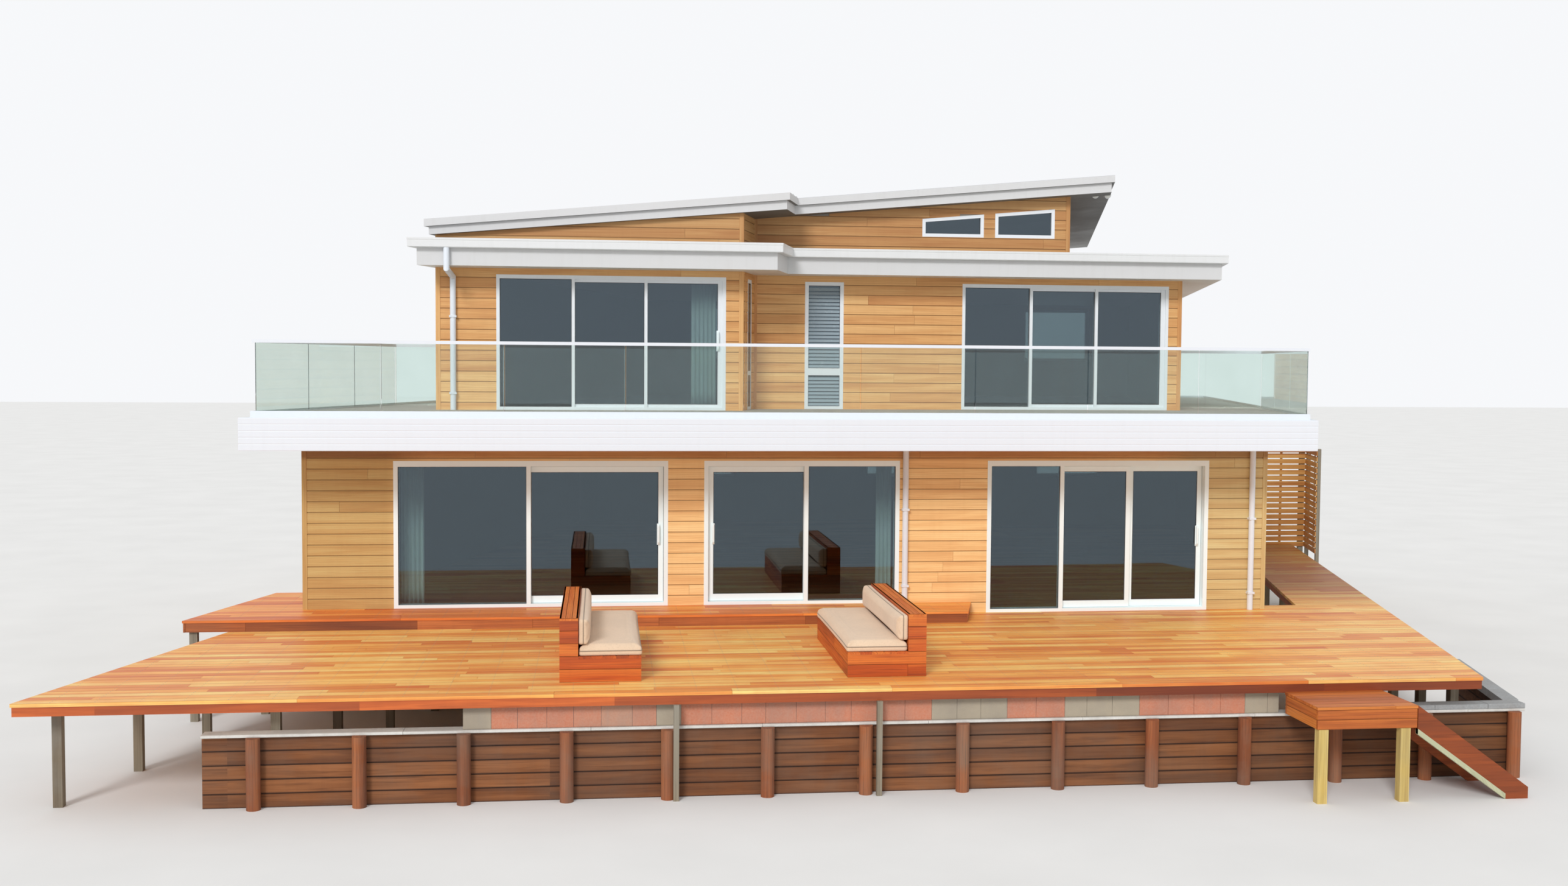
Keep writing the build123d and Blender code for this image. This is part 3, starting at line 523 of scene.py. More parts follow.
def lay_rows(stock, face, start, pitch, front, back, board_len, seed, shy=0.0, within=None,
             tints=(0.0, 1.0)):
    """Boards over a whole face, cut round its openings. Front is the profile of a board in
    (height, depth), back the depth of its rear; long rows are joined from several boards. Shy is
    how far the rows stop short of the face's ends, within the levels they keep between, and tints
    are the darkest and lightest tone."""
    u0, u1, v0, v1 = face.reach()
    if within:
        v0, v1 = within
    for k in range(math.floor((v0 - start) / pitch + 0.001), math.ceil((v1 - start) / pitch - 0.001)):
        base = start + k * pitch
        dice = random.Random(seed * 4099 + k)
        joints = [u0 - dice.random() * board_len]
        while joints[-1] < u1:
            joints.append(joints[-1] + board_len * dice.uniform(0.55, 1.0))
        tones = [dice.uniform(*tints) for _ in joints]
        low = max(base, v0)
        high = min(base + pitch, v1)
        if high - low < 0.004:
            continue
        for p, q, foot, head in face.bands(low, high):
            profile = clipped(front, p - base, q - base)
            if len(profile) < 2 or profile[-1][0] - profile[0][0] < 0.002:
                continue
            section = [(profile[0][0], back)] + profile + [(profile[-1][0], back)]
            for (a0, a1), (b0, b1) in zip(foot, head):
                a0, b0, a1, b1 = a0 + shy, b0 + shy, a1 - shy, b1 - shy
                if max(a1 - a0, b1 - b0) < 0.01:
                    continue
                cuts = [j for j in joints if max(a0, b0) + SHORTEST < j < min(a1, b1) - SHORTEST]
                lefts = [(a0, b0)] + [(j + JOINT, j + JOINT) for j in cuts]
                rights = [(j - JOINT, j - JOINT) for j in cuts] + [(a1, b1)]
                for left, right in zip(lefts, rights):
                    middle = (sum(left) + sum(right)) / 4
                    tone = tones[sum(1 for j in joints[1:] if j < middle) % len(tones)]
                    stock.board(face, p, q, left, right, section, base, tone)


def flat_board(width, gap, chamfer, top=0.0):
    """Profile of a plain board with its two front edges eased."""
    half = gap / 2
    return [(half, top - chamfer), (half + chamfer, top), (width - half - chamfer, top),
            (width - half, top - chamfer)]


# Node trees


class Nodes:
    """A node tree, with a short call for each node that the finishes use."""

    def __init__(self, tree):
        self.tree = tree

    def feed(self, socket, value):
        """Links an input to a socket, or sets it to a constant."""
        if isinstance(value, bpy.types.NodeSocket):
            self.tree.links.new(value, socket)
        elif socket.type == "RGBA":
            socket.default_value = (*value[:3], 1.0)
        else:
            socket.default_value = value

    def put(self, kind, inputs=None, **settings):
        """One node: settings are its own values, inputs are constants or sockets to link."""
        node = self.tree.nodes.new(kind)
        for key, value in settings.items():
            setattr(node, key, value)
        for key, value in (inputs or {}).items():
            self.feed(node.inputs[key], value)
        return node

    def mix(self, share, one, two):
        """Mix of two colours."""
        node = self.put("ShaderNodeMix", data_type="RGBA")
        sockets = {socket.identifier: socket for socket in [*node.inputs, *node.outputs]}
        for key, value in (("Factor_Float", share), ("A_Color", one), ("B_Color", two)):
            self.feed(sockets[key], value)
        return sockets["Result_Color"]

    def math(self, operation, a, b=0.0, clamp=False):
        """Math node."""
        return self.put("ShaderNodeMath", {0: a, 1: b}, operation=operation, use_clamp=clamp).outputs[0]

    def mul(self, a, b):
        """Product."""
        return self.math("MULTIPLY", a, b)

    def add(self, a, b):
        """Sum."""
        return self.math("ADD", a, b)

    def ranged(self, value, low, high, to_low, to_high):
        """Map Range node."""
        return self.put("ShaderNodeMapRange", {
            "Value": value, "From Min": low, "From Max": high, "To Min": to_low,
            "To Max": to_high}).outputs[0]

    def noise(self, vector, scale, detail, roughness=0.5, distortion=0.0):
        """Noise texture."""
        return self.put("ShaderNodeTexNoise", {
            "Vector": vector, "Scale": scale, "Detail": detail, "Roughness": roughness,
            "Distortion": distortion}).outputs[0]

    def waves(self, vector, scale, distortion, detail, way, detail_scale=1.0):
        """Wave texture in bands along one axis."""
        return self.put("ShaderNodeTexWave", {
            "Vector": vector, "Scale": scale, "Distortion": distortion, "Detail": detail,
            "Detail Scale": detail_scale}, bands_direction=way).outputs[1]

    def split(self, vector):
        """The three parts of a vector."""
        return self.put("ShaderNodeSeparateXYZ", {0: vector}).outputs

    def join(self, x, y, z):
        """Vector of three parts."""
        return self.put("ShaderNodeCombineXYZ", {0: x, 1: y, 2: z}).outputs[0]

    def coords(self):
        """Place on the object."""
        return self.put("ShaderNodeTexCoord").outputs["Object"]

    def tone(self):
        """Tone of each board or stone."""
        return self.put("ShaderNodeAttribute", attribute_name="tone").outputs["Fac"]

    def group(self, make, inputs):
        """A group that a function builds once, placed with its own values."""
        return self.put("ShaderNodeGroup", inputs, node_tree=group_from(make)).outputs


def group_from(make):
    """The node group that a function builds under its own name, built once."""
    return bpy.data.node_groups.get(make.__name__) or make()


def new_group(kind, name, inputs, outputs):
    """Node group with named sockets, each given by name, type and, where it has one, default."""
    tree = bpy.data.node_groups.new(name, kind)
    for side, sockets in (("INPUT", inputs), ("OUTPUT", outputs)):
        for label, socket_type, *default in sockets:
            socket = tree.interface.new_socket(label, in_out=side, socket_type="NodeSocket" + socket_type)
            if default:
                socket.default_value = default[0]
    return Nodes(tree), tree.nodes.new("NodeGroupInput").outputs, tree.nodes.new("NodeGroupOutput").inputs


# Geometry Nodes for what repeats


def spread_group(name, inputs, shape, points=None):
    """Geometry Nodes group that puts one shape on every point, realized and painted."""
    n, given, result = new_group("GeometryNodeTree", name, [
        ("Geometry", "Geometry"), *inputs, ("Turn", "Vector"), ("Material", "Material")],
        [("Geometry", "Geometry")])
    spread = n.put("GeometryNodeInstanceOnPoints", {
        "Points": points(n, given) if points else given["Geometry"], "Instance": shape(n, given),
        "Rotation": given["Turn"]})
    real = n.put("GeometryNodeRealizeInstances", {0: spread.outputs[0]})
    painted = n.put("GeometryNodeSetMaterial", {0: real.outputs[0], "Material": given["Material"]})
    n.feed(result[0], painted.outputs[0])
    return n.tree


def round_heads():
    """Round heads, such as screws, on every point of the base mesh."""
    def head(n, given):
        return n.put("GeometryNodeMeshCone", {
            "Vertices": 8, "Side Segments": 1, "Radius Bottom": given["Radius"],
            "Radius Top": n.mul(given["Radius"], 0.72), "Depth": given["Height"]}).outputs["Mesh"]

    return spread_group("round_heads", [("Radius", "Float"), ("Height", "Float")], head)


def bar_run():
    """Equal bars, such as louvre blades or brackets, at a fixed step along a line."""
    def bar(n, given):
        return n.put("GeometryNodeMeshCube", {"Size": given["Bar Size"]}).outputs["Mesh"]

    def line(n, given):
        return n.put("GeometryNodeMeshLine", {
            "Count": given["Count"], "Start Location": given["Start"],
            "Offset": given["Step"]}).outputs["Mesh"]

    return spread_group("bar_run", [
        ("Count", "Int"), ("Start", "Vector"), ("Step", "Vector"), ("Bar Size", "Vector")], bar, line)


def grown(name, make, values, finish, points=()):
    """Runs a Geometry Nodes group over base points and keeps the result as a plain mesh."""
    base = bpy.data.meshes.new(name + "_base")
    base.from_pydata([tuple(point) for point in points], [], [])
    carrier = bpy.data.objects.new(name + "_points", base)
    bpy.context.scene.collection.objects.link(carrier)
    modifier = carrier.modifiers.new("rows", "NODES")
    modifier.node_group = group_from(make)
    values = {"Material": FINISH[finish], **values}
    for item in modifier.node_group.interface.items_tree:
        if item.item_type == "SOCKET" and item.in_out == "INPUT" and item.name in values:
            modifier[item.identifier] = values[item.name]
    graph = bpy.context.evaluated_depsgraph_get()
    graph.update()
    mesh = bpy.data.meshes.new_from_object(carrier.evaluated_get(graph))
    carrier.modifiers.remove(modifier)
    bpy.data.objects.remove(carrier)
    mesh.name = name
    return carried(name, mesh)


# Shader groups and finishes


def board_grain():
    """Timber grain: broad streaks, fine fibres and arched rings, shifted for every board."""
    n, given, result = new_group("ShaderNodeTree", "board_grain", [
        ("Vector", "Vector"), ("Tone", "Float", 0.5), ("Light", "Color"), ("Middle", "Color"),
        ("Dark", "Color"), ("Spread", "Float", 1.0), ("Streaks", "Float", 1.0)],
        [("Color", "Color"), ("Fibre", "Float"), ("Rough", "Float")])
    x, y, z = n.split(given["Vector"])
    shift = n.mul(given["Tone"], 173.0)
    along = n.add(x, shift)

    def stretched(scale_along, scale_across):
        return n.join(n.mul(along, scale_along), n.mul(y, scale_across), n.add(n.mul(z, scale_across), shift))

    broad = n.noise(stretched(0.55, 9.0), 1.0, 3.0, 0.55, 0.4)
    streak = n.noise(stretched(1.4, 46.0), 1.0, 4.0, 0.55, 0.2)
    fibre = n.noise(stretched(7.0, 420.0), 1.0, 2.0, 0.55)
    rings = n.waves(stretched(0.35, 3.2), 3.4, 5.5, 2.0, "Y", 1.3)
    tone = n.mul(n.ranged(given["Tone"], 0.0, 1.0, -0.5, 0.5), given["Spread"])
    body = n.add(tone, n.ranged(broad, 0.25, 0.75, 0.15, 0.85))
    base = n.mix(n.ranged(body, 0.45, 1.05, 0.0, 1.0), given["Middle"], given["Light"])
    base = n.mix(n.ranged(body, 0.5, -0.15, 0.0, 0.85), base, given["Dark"])
    lines = n.mul(n.ranged(streak, 0.52, 0.78, 0.0, 0.55), given["Streaks"])
    lines = n.add(lines, n.ranged(rings, 0.72, 1.0, 0.0, 0.22))
    base = n.mix(lines, base, given["Dark"])
    n.feed(result["Color"], n.mix(n.ranged(fibre, 0.3, 0.7, 0.10, 0.0), base, given["Dark"]))
    n.feed(result["Fibre"], n.add(n.mul(fibre, 0.6), n.mul(rings, 0.4)))
    n.feed(result["Rough"], n.ranged(streak, 0.3, 0.7, -0.07, 0.09))
    return n.tree


def weather_marks():
    """Soft stains, vertical runs and fine specks over a large surface."""
    n, given, result = new_group("ShaderNodeTree", "weather_marks", [
        ("Vector", "Vector"), ("Patch Size", "Float", 1.0), ("Run Width", "Float", 0.12)],
        [("Patches", "Float"), ("Runs", "Float"), ("Specks", "Float")])
    patches = n.noise(given["Vector"], n.math("DIVIDE", 1.0, given["Patch Size"]), 5.0, 0.6, 0.3)
    n.feed(result["Patches"], n.ranged(patches, 0.38, 0.68, 0.0, 1.0))
    x, y, z = n.split(given["Vector"])
    run = n.math("DIVIDE", 1.0, given["Run Width"])
    runs = n.noise(n.join(n.mul(x, run), n.mul(y, run), n.mul(z, 0.9)), 1.0, 3.0)
    n.feed(result["Runs"], n.ranged(runs, 0.5, 0.8, 0.0, 1.0))
    n.feed(result["Specks"], n.noise(given["Vector"], 180.0, 2.0, 0.7))
    return n.tree


def scaled(tint, share):
    """A colour made lighter or darker."""
    return tuple(min(1.0, c * share) for c in tint)


class Finish(Nodes):
    """A new material's node tree and its shader."""

    def __init__(self, name):
        self.material = bpy.data.materials.new(name)
        self.material.use_nodes = True
        super().__init__(self.material.node_tree)
        self.shader = self.tree.nodes["Principled BSDF"]

    def marks(self, vector, patch_size, run_width):
        """Weather marks on this surface."""
        return self.group(weather_marks, {"Vector": vector, "Patch Size": patch_size, "Run Width": run_width})

    def surface(self, base, rough, height, distance, strength, values=None):
        """Feeds the shader its colour, roughness, a bump from a height, and plain values."""
        bump = self.put("ShaderNodeBump", {"Height": height, "Distance": distance, "Strength": strength})
        inputs = {"Base Color": base, "Roughness": rough, "Normal": bump.outputs[0], **(values or {})}
        for key, value in inputs.items():
            self.feed(self.shader.inputs[key], value)
        return self.material


def timber(name, tones, spread=1.0, streaks=1.0, rough=0.55, bump=0.35, lie=None, board=(("x", 2.9),),
           grey=None, grey_share=0.0, shades=(), seam=None):
    """Timber finish in a light, a middle and a dark tone. Boards made here bring their own UV map
    and tone. On a CAD node, lie gives the axis the grain runs along, board the axes and widths that
    part one board from the next, and seam the height of its rows, with a dark line between two.
    Shades tint stretches along an axis, from nothing at the first place to all at the second."""
    n = Finish(name)
    light, middle, dark = tones
    coords = n.coords()
    parts = n.split(coords)
    if lie is None:
        vector = n.put("ShaderNodeUVMap", uv_map="grain").outputs[0]
        tone = n.tone()
    else:
        first = "xyz".index(lie)
        vector = n.join(*(parts[(first + k) % 3] for k in range(3)))
        cells = [n.math("FLOOR", n.math("DIVIDE", parts["xyz".index(axis)], width)) for axis, width in board]
        cell = n.join(*(cells + [0.0, 0.0])[:3])
        tone = n.put("ShaderNodeTexWhiteNoise", {"Vector": cell}).outputs["Value"]
    grain = n.group(board_grain, {
        "Vector": vector, "Tone": tone, "Light": light, "Middle": middle, "Dark": dark, "Spread": spread,
        "Streaks": streaks})
    marks = n.marks(coords, 0.9, 0.1)
    base = grain["Color"]
    if grey is not None:
        base = n.mix(n.mul(marks["Patches"], grey_share), base, grey)
    base = n.mix(n.mul(marks["Runs"], 0.10), base, dark)
    # The seam paints a line of shade in the gap between two rows
    if seam:
        far = n.math("SUBTRACT", n.math("FRACT", n.math("DIVIDE", parts[2], seam)), 0.5)
        base = n.mix(n.ranged(n.math("ABSOLUTE", far), 0.40, 0.48, 0.0, 0.85), base, scaled(dark, 0.35))
    for axis, start, stop, tint in shades:
        tinted = n.put("ShaderNodeVectorMath", {0: base, 1: tint}, operation="MULTIPLY").outputs[0]
        base = n.mix(n.ranged(parts["xyz".index(axis)], start, stop, 0.0, 1.0), base, tinted)
    # Painted shade on the boards' open lines and eased edges, the faces with the shaded tone
    if lie is None:
        base = n.mix(n.ranged(tone, 1.4, 1.8, 0.0, 0.64), base, scaled(dark, 0.42))
    return n.surface(base, n.add(grain["Rough"], rough), grain["Fibre"], 0.0012, bump)


DIRT = (0.45, 0.43, 0.40)


def coated(name, base, rough=0.38, dirt_share=0.10, under=None, over=None, metallic=0.0):
    """Painted or powder-coated surface with faint runs and dust. Under and over colour the faces
    that look down and up."""
    n = Finish(name)
    marks = n.marks(n.coords(), 1.3, 0.07)
    for tint, start, stop in ((under, -0.6, -0.8), (over, 0.6, 0.8)):
        if tint is not None:
            facing = n.split(n.put("ShaderNodeNewGeometry").outputs["Normal"])[2]
            base = n.mix(n.ranged(facing, start, stop, 0.0, 1.0), base, tint)
    dust = n.mul(marks["Patches"], dirt_share * 0.6)
    dirty = n.math("ADD", dust, n.mul(marks["Runs"], dirt_share), clamp=True)
    rough = n.ranged(marks["Patches"], 0.0, 1.0, rough, rough + 0.14)
    return n.surface(n.mix(dirty, base, DIRT), rough, marks["Specks"], 0.0004, 0.10, {"Metallic": metallic})


def masonry(name, base, light, patch=None):
    """Concrete or block face with pits and stains. Patch colours the stones with a high tone."""
    n = Finish(name)
    coords = n.coords()
    marks = n.marks(coords, 0.35, 0.12)
    fine = n.noise(coords, 45.0, 6.0, 0.7)
    pits = n.put("ShaderNodeTexVoronoi", {"Vector": coords, "Scale": 90.0}).outputs[0]
    mixed = n.mix(n.ranged(fine, 0.35, 0.7, 0.0, 0.55), base, light)
    if patch is not None:
        mixed = n.mix(n.ranged(n.tone(), 0.55, 0.95, 0.0, 1.0), mixed, patch)
    for mark, share, stain in (("Patches", 0.28, (0.22, 0.19, 0.17)), ("Runs", 0.20, (0.30, 0.27, 0.24))):
        mixed = n.mix(n.mul(marks[mark], share), mixed, stain)
    return n.surface(mixed, 0.85, n.add(fine, n.mul(pits, 0.5)), 0.003, 0.5)


def woven(name, base):
    """Outdoor canvas: crossed threads, slub and sun-faded patches."""
    n = Finish(name)
    coords = n.coords()
    threads = [n.waves(coords, 190.0, 0.6, 1.0, way) for way in ("X", "Y", "Z")]
    weave = n.mul(n.add(threads[0], threads[1]), threads[2])
    slub = n.noise(coords, 60.0, 3.0)
    faded = n.noise(coords, 2.2, 3.0)
    dark = scaled(base, 0.72)
    mixed = n.mix(n.ranged(faded, 0.35, 0.7, 0.0, 0.7), base, scaled(base, 1.12))
    mixed = n.mix(n.ranged(slub, 0.5, 0.75, 0.0, 0.35), mixed, dark)
    mixed = n.mix(n.ranged(weave, 0.0, 1.0, 0.18, 0.0), mixed, dark)
    return n.surface(mixed, 0.88, n.add(weave, slub), 0.0008, 0.35, {"Sheen Weight": 0.25})


def glazing(name, tint, shade=(0.6, 0.66, 0.66), ior=1.5, gloss=(1.0, 1.0, 1.0)):
    """Window glass: clear body, faint waviness, and light let through behind it."""
    n = Finish(name)
    streaks = n.noise(n.coords(), 1.6, 2.0)
    body = n.mix(n.ranged(streaks, 0.3, 0.7, 0.0, 0.25), tint, scaled(tint, 1.15))
    n.surface(body, n.ranged(streaks, 0.3, 0.7, 0.01, 0.025), streaks, 0.002, 0.02, {
        "Transmission Weight": 1.0, "IOR": ior, "Specular Tint": gloss})
    through = n.put("ShaderNodeBsdfTransparent", {"Color": shade}).outputs[0]
    shadow = n.put("ShaderNodeLightPath").outputs["Is Shadow Ray"]
    seen = n.put("ShaderNodeMixShader", {0: shadow, 1: n.shader.outputs[0], 2: through}).outputs[0]
    n.feed(n.tree.nodes["Material Output"].inputs["Surface"], seen)
    return n.material


# Stretches that a tint darkens or lightens, painted shade and painted light among them: axis, where it
# starts, where it is full, and the tint
# painted light: the upper weatherboards lighter towards their foot, below the eave's shade
PAINTED_LIGHT_FOOT = ("z", 5.25, 4.55, (1.17, 1.22, 1.24))
# the lower weatherboards from 5.2 m out either side of the middle: duller on the right, darker on the left
DULLER_RIGHT_END = ("x", 5.2, 5.8, (0.74, 0.85, 0.88))
DARKER_LEFT_END = ("x", -5.2, -5.8, (0.62, 0.62, 0.50))
# painted shade: the lower wall's top darker where the balcony overhangs it
PAINTED_SHADE_UNDER_BALCONY = ("z", 3.40, 3.47, (0.56, 0.41, 0.28))
WALKWAY_SHADE = ("y", -0.3, 2.0, (0.40, 0.34, 0.29))
EDGE_SHADE = ("x", -3.0, 3.0, (0.52, 0.46, 0.40))
WALL_SHADE = ("x", 2.0, 7.0, (0.62, 0.62, 0.56))

# Boards that a CAD node's finish is divided into: axis and width of each division
EDGE_BOARDS = (("x", 2.7), ("y", 40.0))
BEARERS = (("x", 3.0), ("y", 0.7))
POSTS = (("x", 0.6), ("y", 0.6))
OLD_BOARD = 0.154
OLD_BOARDS = (("z", OLD_BOARD), ("x", 3.4))
OLD_POSTS = (("x", 0.9),)
STAIR_BOARDS = (("y", 0.35), ("x", 40.0))
SLATS = (("z", 0.112), ("x", 40.0))
FLOOR_BOARDS = (("y", 0.14), ("x", 1.9))

CLERESTORY_SHADE = 0.78              # the clerestory's cedar against the upper wall's, darker as painted shade
SLAT_TINT = (0.73, 0.67, 0.5)
# painted shade: the piping's cloth darker than the cushion's, for the shade under the cushion's bulge
PIPING_SHADE = 0.42
FINISH = {}


def make_finishes():
    """Every material of the house, from the colours in the panel and those typed here."""
    panel = bpy.context.scene.house_colours

    def tint(pick):
        """A colour of the panel by its name, or one typed as it shows."""
        return tuple(getattr(panel, pick)) if isinstance(pick, str) else shown(*pick)

    def tones(*picks):
        """Light, middle and dark tone."""
        return [tint(pick) for pick in picks]

    cedar = tones("cedar_light", "cedar", "cedar_dark")
    deck = tones("deck_light", "deck", "deck_dark")
    slats = [tuple(c * share for c, share in zip(tone, SLAT_TINT)) for tone in cedar]
    FINISH.update({
        "cedar": timber("cedar_boards", cedar, 0.38, 0.55, 0.52, shades=[PAINTED_LIGHT_FOOT]),
        # painted light: the lower storey's cedar, a paler copy of the upper cedar
        "pale_cedar": timber("pale_cedar_boards", tones((255, 224, 163), "pale_cedar", (204, 142, 82)), 0.38,
                             0.5, 0.52, shades=[DULLER_RIGHT_END, DARKER_LEFT_END, PAINTED_SHADE_UNDER_BALCONY]),
        "deep_cedar": timber("deep_cedar_boards", [scaled(tone, CLERESTORY_SHADE) for tone in cedar], 0.5, 0.7),
        "deck": timber("deck_boards", deck, rough=0.48, grey=tint((214, 98, 36)), grey_share=0.30),
        "walkway": timber("walkway_boards", deck, 0.9, 1.3, 0.5, shades=[WALKWAY_SHADE]),
        "bench": timber("bench_boards", tones((228, 130, 50), "bench", (120, 46, 16)), 0.9, 1.1, 0.50),
        "landing": timber("landing_timber", tones((228, 142, 62), (194, 102, 36), (118, 52, 18)), 0.8),
        "step": timber("step_boards", tones((255, 186, 98), (248, 148, 66), (190, 80, 28)), rough=0.48),
        # painted shade: the risers darker than the step's top, for the shade under its nosing
        "riser": timber("riser_boards", tones((204, 120, 64), (172, 94, 46), (106, 52, 28)), rough=0.52),
        # painted shade: the dark box inside the benches, seen between their boards
        "core": timber("bench_core", tones((74, 40, 26), (56, 30, 20), (34, 18, 12))),
        "edge": timber("edge_boards", tones((238, 134, 60), "edge", (140, 62, 28)), 1.1, 1.2, 0.52, lie="x",
                       board=EDGE_BOARDS, shades=[EDGE_SHADE]),
        # painted shade: the bearers dark brown for the shade under the deck
        "framing": timber("framing_timber", tones((120, 84, 56), (96, 64, 42), (60, 38, 26)), 0.6, rough=0.7,
                          lie="x", board=BEARERS),
        "posts": timber("pine_posts", tones((232, 206, 136), "pale_post", (156, 118, 58)), 0.6, rough=0.7,
                        lie="z", board=POSTS, grey=tint((150, 146, 120)), grey_share=0.35),
        "grey_posts": timber("weathered_posts", tones((172, 160, 138), (140, 126, 104), (92, 78, 62)), 0.6,
                             rough=0.75, lie="z", board=POSTS, grey=tint((140, 138, 130)), grey_share=0.6),
        "old_boards": timber("retaining_boards_old", tones((166, 106, 62), "retaining", (66, 34, 18)), 0.5,
                             rough=0.78, bump=0.6, lie="x", board=OLD_BOARDS, grey=tint((112, 96, 82)),
                             grey_share=0.35, seam=OLD_BOARD, shades=[WALL_SHADE]),
        "old_posts": timber("retaining_posts_old", tones((182, 112, 66), (152, 84, 46), (84, 46, 28)), 0.6,
                            rough=0.8, bump=0.6, lie="z", board=OLD_POSTS, grey=tint((120, 112, 98)),
                            grey_share=0.5),
        "stair": timber("stair_timber", tones((184, 96, 36), (152, 70, 22), (88, 38, 14)), 0.6, lie="x",
                        board=STAIR_BOARDS),
        "strip": timber("stair_strip_pine", tones((206, 206, 172), (184, 186, 152), (140, 138, 108))),
        "screen": timber("screen_slats", slats, lie="x", board=SLATS),
        "inside_floor": timber("inside_floor", tones((176, 128, 86), (140, 96, 62), (92, 58, 36)), lie="x",
                               board=FLOOR_BOARDS),
        "inside": coated("inside_lining", tint((150, 144, 134)), 0.8),
        "white": coated("white_metal", tint("white"), dirt_share=0.04),
        "gutter": coated("gutter_white", tint((224, 225, 226))),
        "roof": coated("roof_white", tint("grey_white"), under=tint("soffit"), over=tint("sheet")),
        "eaves": coated("eave_white", tint("grey_white"), under=tint("eave"), over=tint("sheet")),
        "sheet": coated("roof_sheet", tint("sheet"), 0.32, 0.2, metallic=0.35),
        "joinery": coated("white_joinery", tint("joinery"), 0.30, 0.05),
        # painted light: a brighter, cooler white for the door frames and sashes in the balcony's shade
        "bright": coated("bright_joinery", tint((241, 253, 255)), 0.30, 0.03),
        # painted shade: dark sheets on the bay's side panes, for the shaded room behind them
        "dark_pane": coated("dark_pane", tint((46, 50, 56)), 0.06, 0.02),
        "gasket": coated("dark_gasket", tint((52, 54, 58)), 0.7),
        "steel": coated("screw_steel", tint((168, 160, 150)), 0.35, metallic=0.9),
        "blade": coated("louvre_glass", tint((152, 168, 178)), 0.18),
        "lamp": coated("lamp_glass", tint((236, 236, 228)), 0.15),
        "glass": glazing("window_glass", tint((140, 158, 162)), ior=1.9, gloss=(0.70, 0.83, 0.96)),
        "rail_glass": glazing("balustrade_glass_clear", tint((232, 242, 238)), shade=(0.86, 0.90, 0.88)),
        "concrete": masonry("foundation_concrete", *tones((176, 172, 164), (198, 194, 186))),
        "block": masonry("band_blocks", *tones("block", (206, 156, 132), (172, 160, 140))),
        "cap": masonry("band_cap", *tones("cap", (232, 230, 224))),
        "coping": masonry("coping_stone", *tones((150, 154, 156), (186, 188, 188))),
        "cloth": woven("cushion_canvas", tint("cushion")),
        "piping": woven("cushion_piping", scaled(tint("cushion"), PIPING_SHADE)),
        "sheer": woven("sheer_curtain", tint("sheer")),
    })


DOORS = ("left_door", "middle_door", "right_outer", "right_inner")
WORN_BY = {
    "concrete": ["foundation"],
    "inside": ["lower_front_piers", "lower_front_header", "lower_walls", "upper_walls", "clerestory_walls"],
    "inside_floor": ["ground_floor"],
    "eaves": ["balcony_slab", "mid_roof"],
    "roof": ["top_roof", "top_roof_band"],
    "gutter": ["roof_gutter"],
    "white": ["balcony_fascia", "balustrade_rail", "downpipes"],
    "rail_glass": ["balustrade_glass"],
    "bright": ["door_tracks", "door_jambs"] + [door + "_sash" for door in DOORS],
    "joinery": ["window_frames"],
    "glass": ["fixed_glass"] + [door + "_glass" for door in DOORS],
    "edge": ["main_deck", "side_walkway", "deck_fascia", "deck_step", "benches"],
    "framing": ["deck_bearers"],
    "grey_posts": ["deck_posts"],
    "old_boards": ["retaining_boards"],
    "old_posts": ["retaining_posts"],
    "cap": ["block_band"],
    "cloth": ["bench_cushions"],
    "stair": ["landing", "stair_stringers", "stair_treads"],
    "posts": ["landing_posts"],
    "screen": ["side_screen", "screen_return"],
}


class HOUSE_OT_finishes(bpy.types.Operator):
    """Make the finishes and give one to every part of the frame"""

    bl_idname = "house.finishes"
    bl_label = "Finishes"

    def execute(self, context):
        make_finishes()
        wear = {name: finish for finish, names in WORN_BY.items() for name in names}
        for name, piece in NODES.items():
            if name not in wear:
                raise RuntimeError(f"no finish is chosen for {name}")
            piece.data.materials.clear()
            piece.data.materials.append(FINISH[wear[name]])
        return {"FINISHED"}


# Walls


SMALLEST = 0.6           # area of the smallest face that is clad
SMALLEST_SIDE = 0.3      # and of the smallest one on the right, between two fronts
WALL_T = 0.35            # faces within this of the left side are its inside
WEATHERBOARD_LEN = 4.8
CORNER_PROUD = 0.006     # corner boards stand this far off the weatherboards


def outer_faces(names):
    """Outside faces of one storey, each with its side: fronts, back and sides, without the rooms'."""
    right, left = side_normals()
    tris, units, areas = facets(names)
    centre_y = (tris[:, :, 1].min() + tris[:, :, 1].max()) / 2
    left_end = (tris @ np.array(left)).max()
    faces = []
    for side, direction in (("front", FRONT), ("back", BACK), ("right", right), ("left", left)):
        unit = np.array(direction)
        looks = units @ unit > 0.9995
        facing = tris[looks]
        offsets = np.round(facing.mean(axis=1) @ unit, 3)
        for offset in sorted(set(offsets)):
            near = abs(offsets - offset) < 0.0015
            group = facing[near]
            between = side == "right" and np.ptp(group[:, :, 1]) > 0.5
            if areas[looks][near].sum() < (SMALLEST_SIDE if between else SMALLEST):
                continue
            if side == "front":
                inside = group[:, :, 1].mean() > centre_y
            else:
                inside = offset < (WALL_T - left_end if side == "right" else offsets.max() - 0.01)
            if not inside:
                faces.append((side, Face(group, unit, UP)))
    return faces


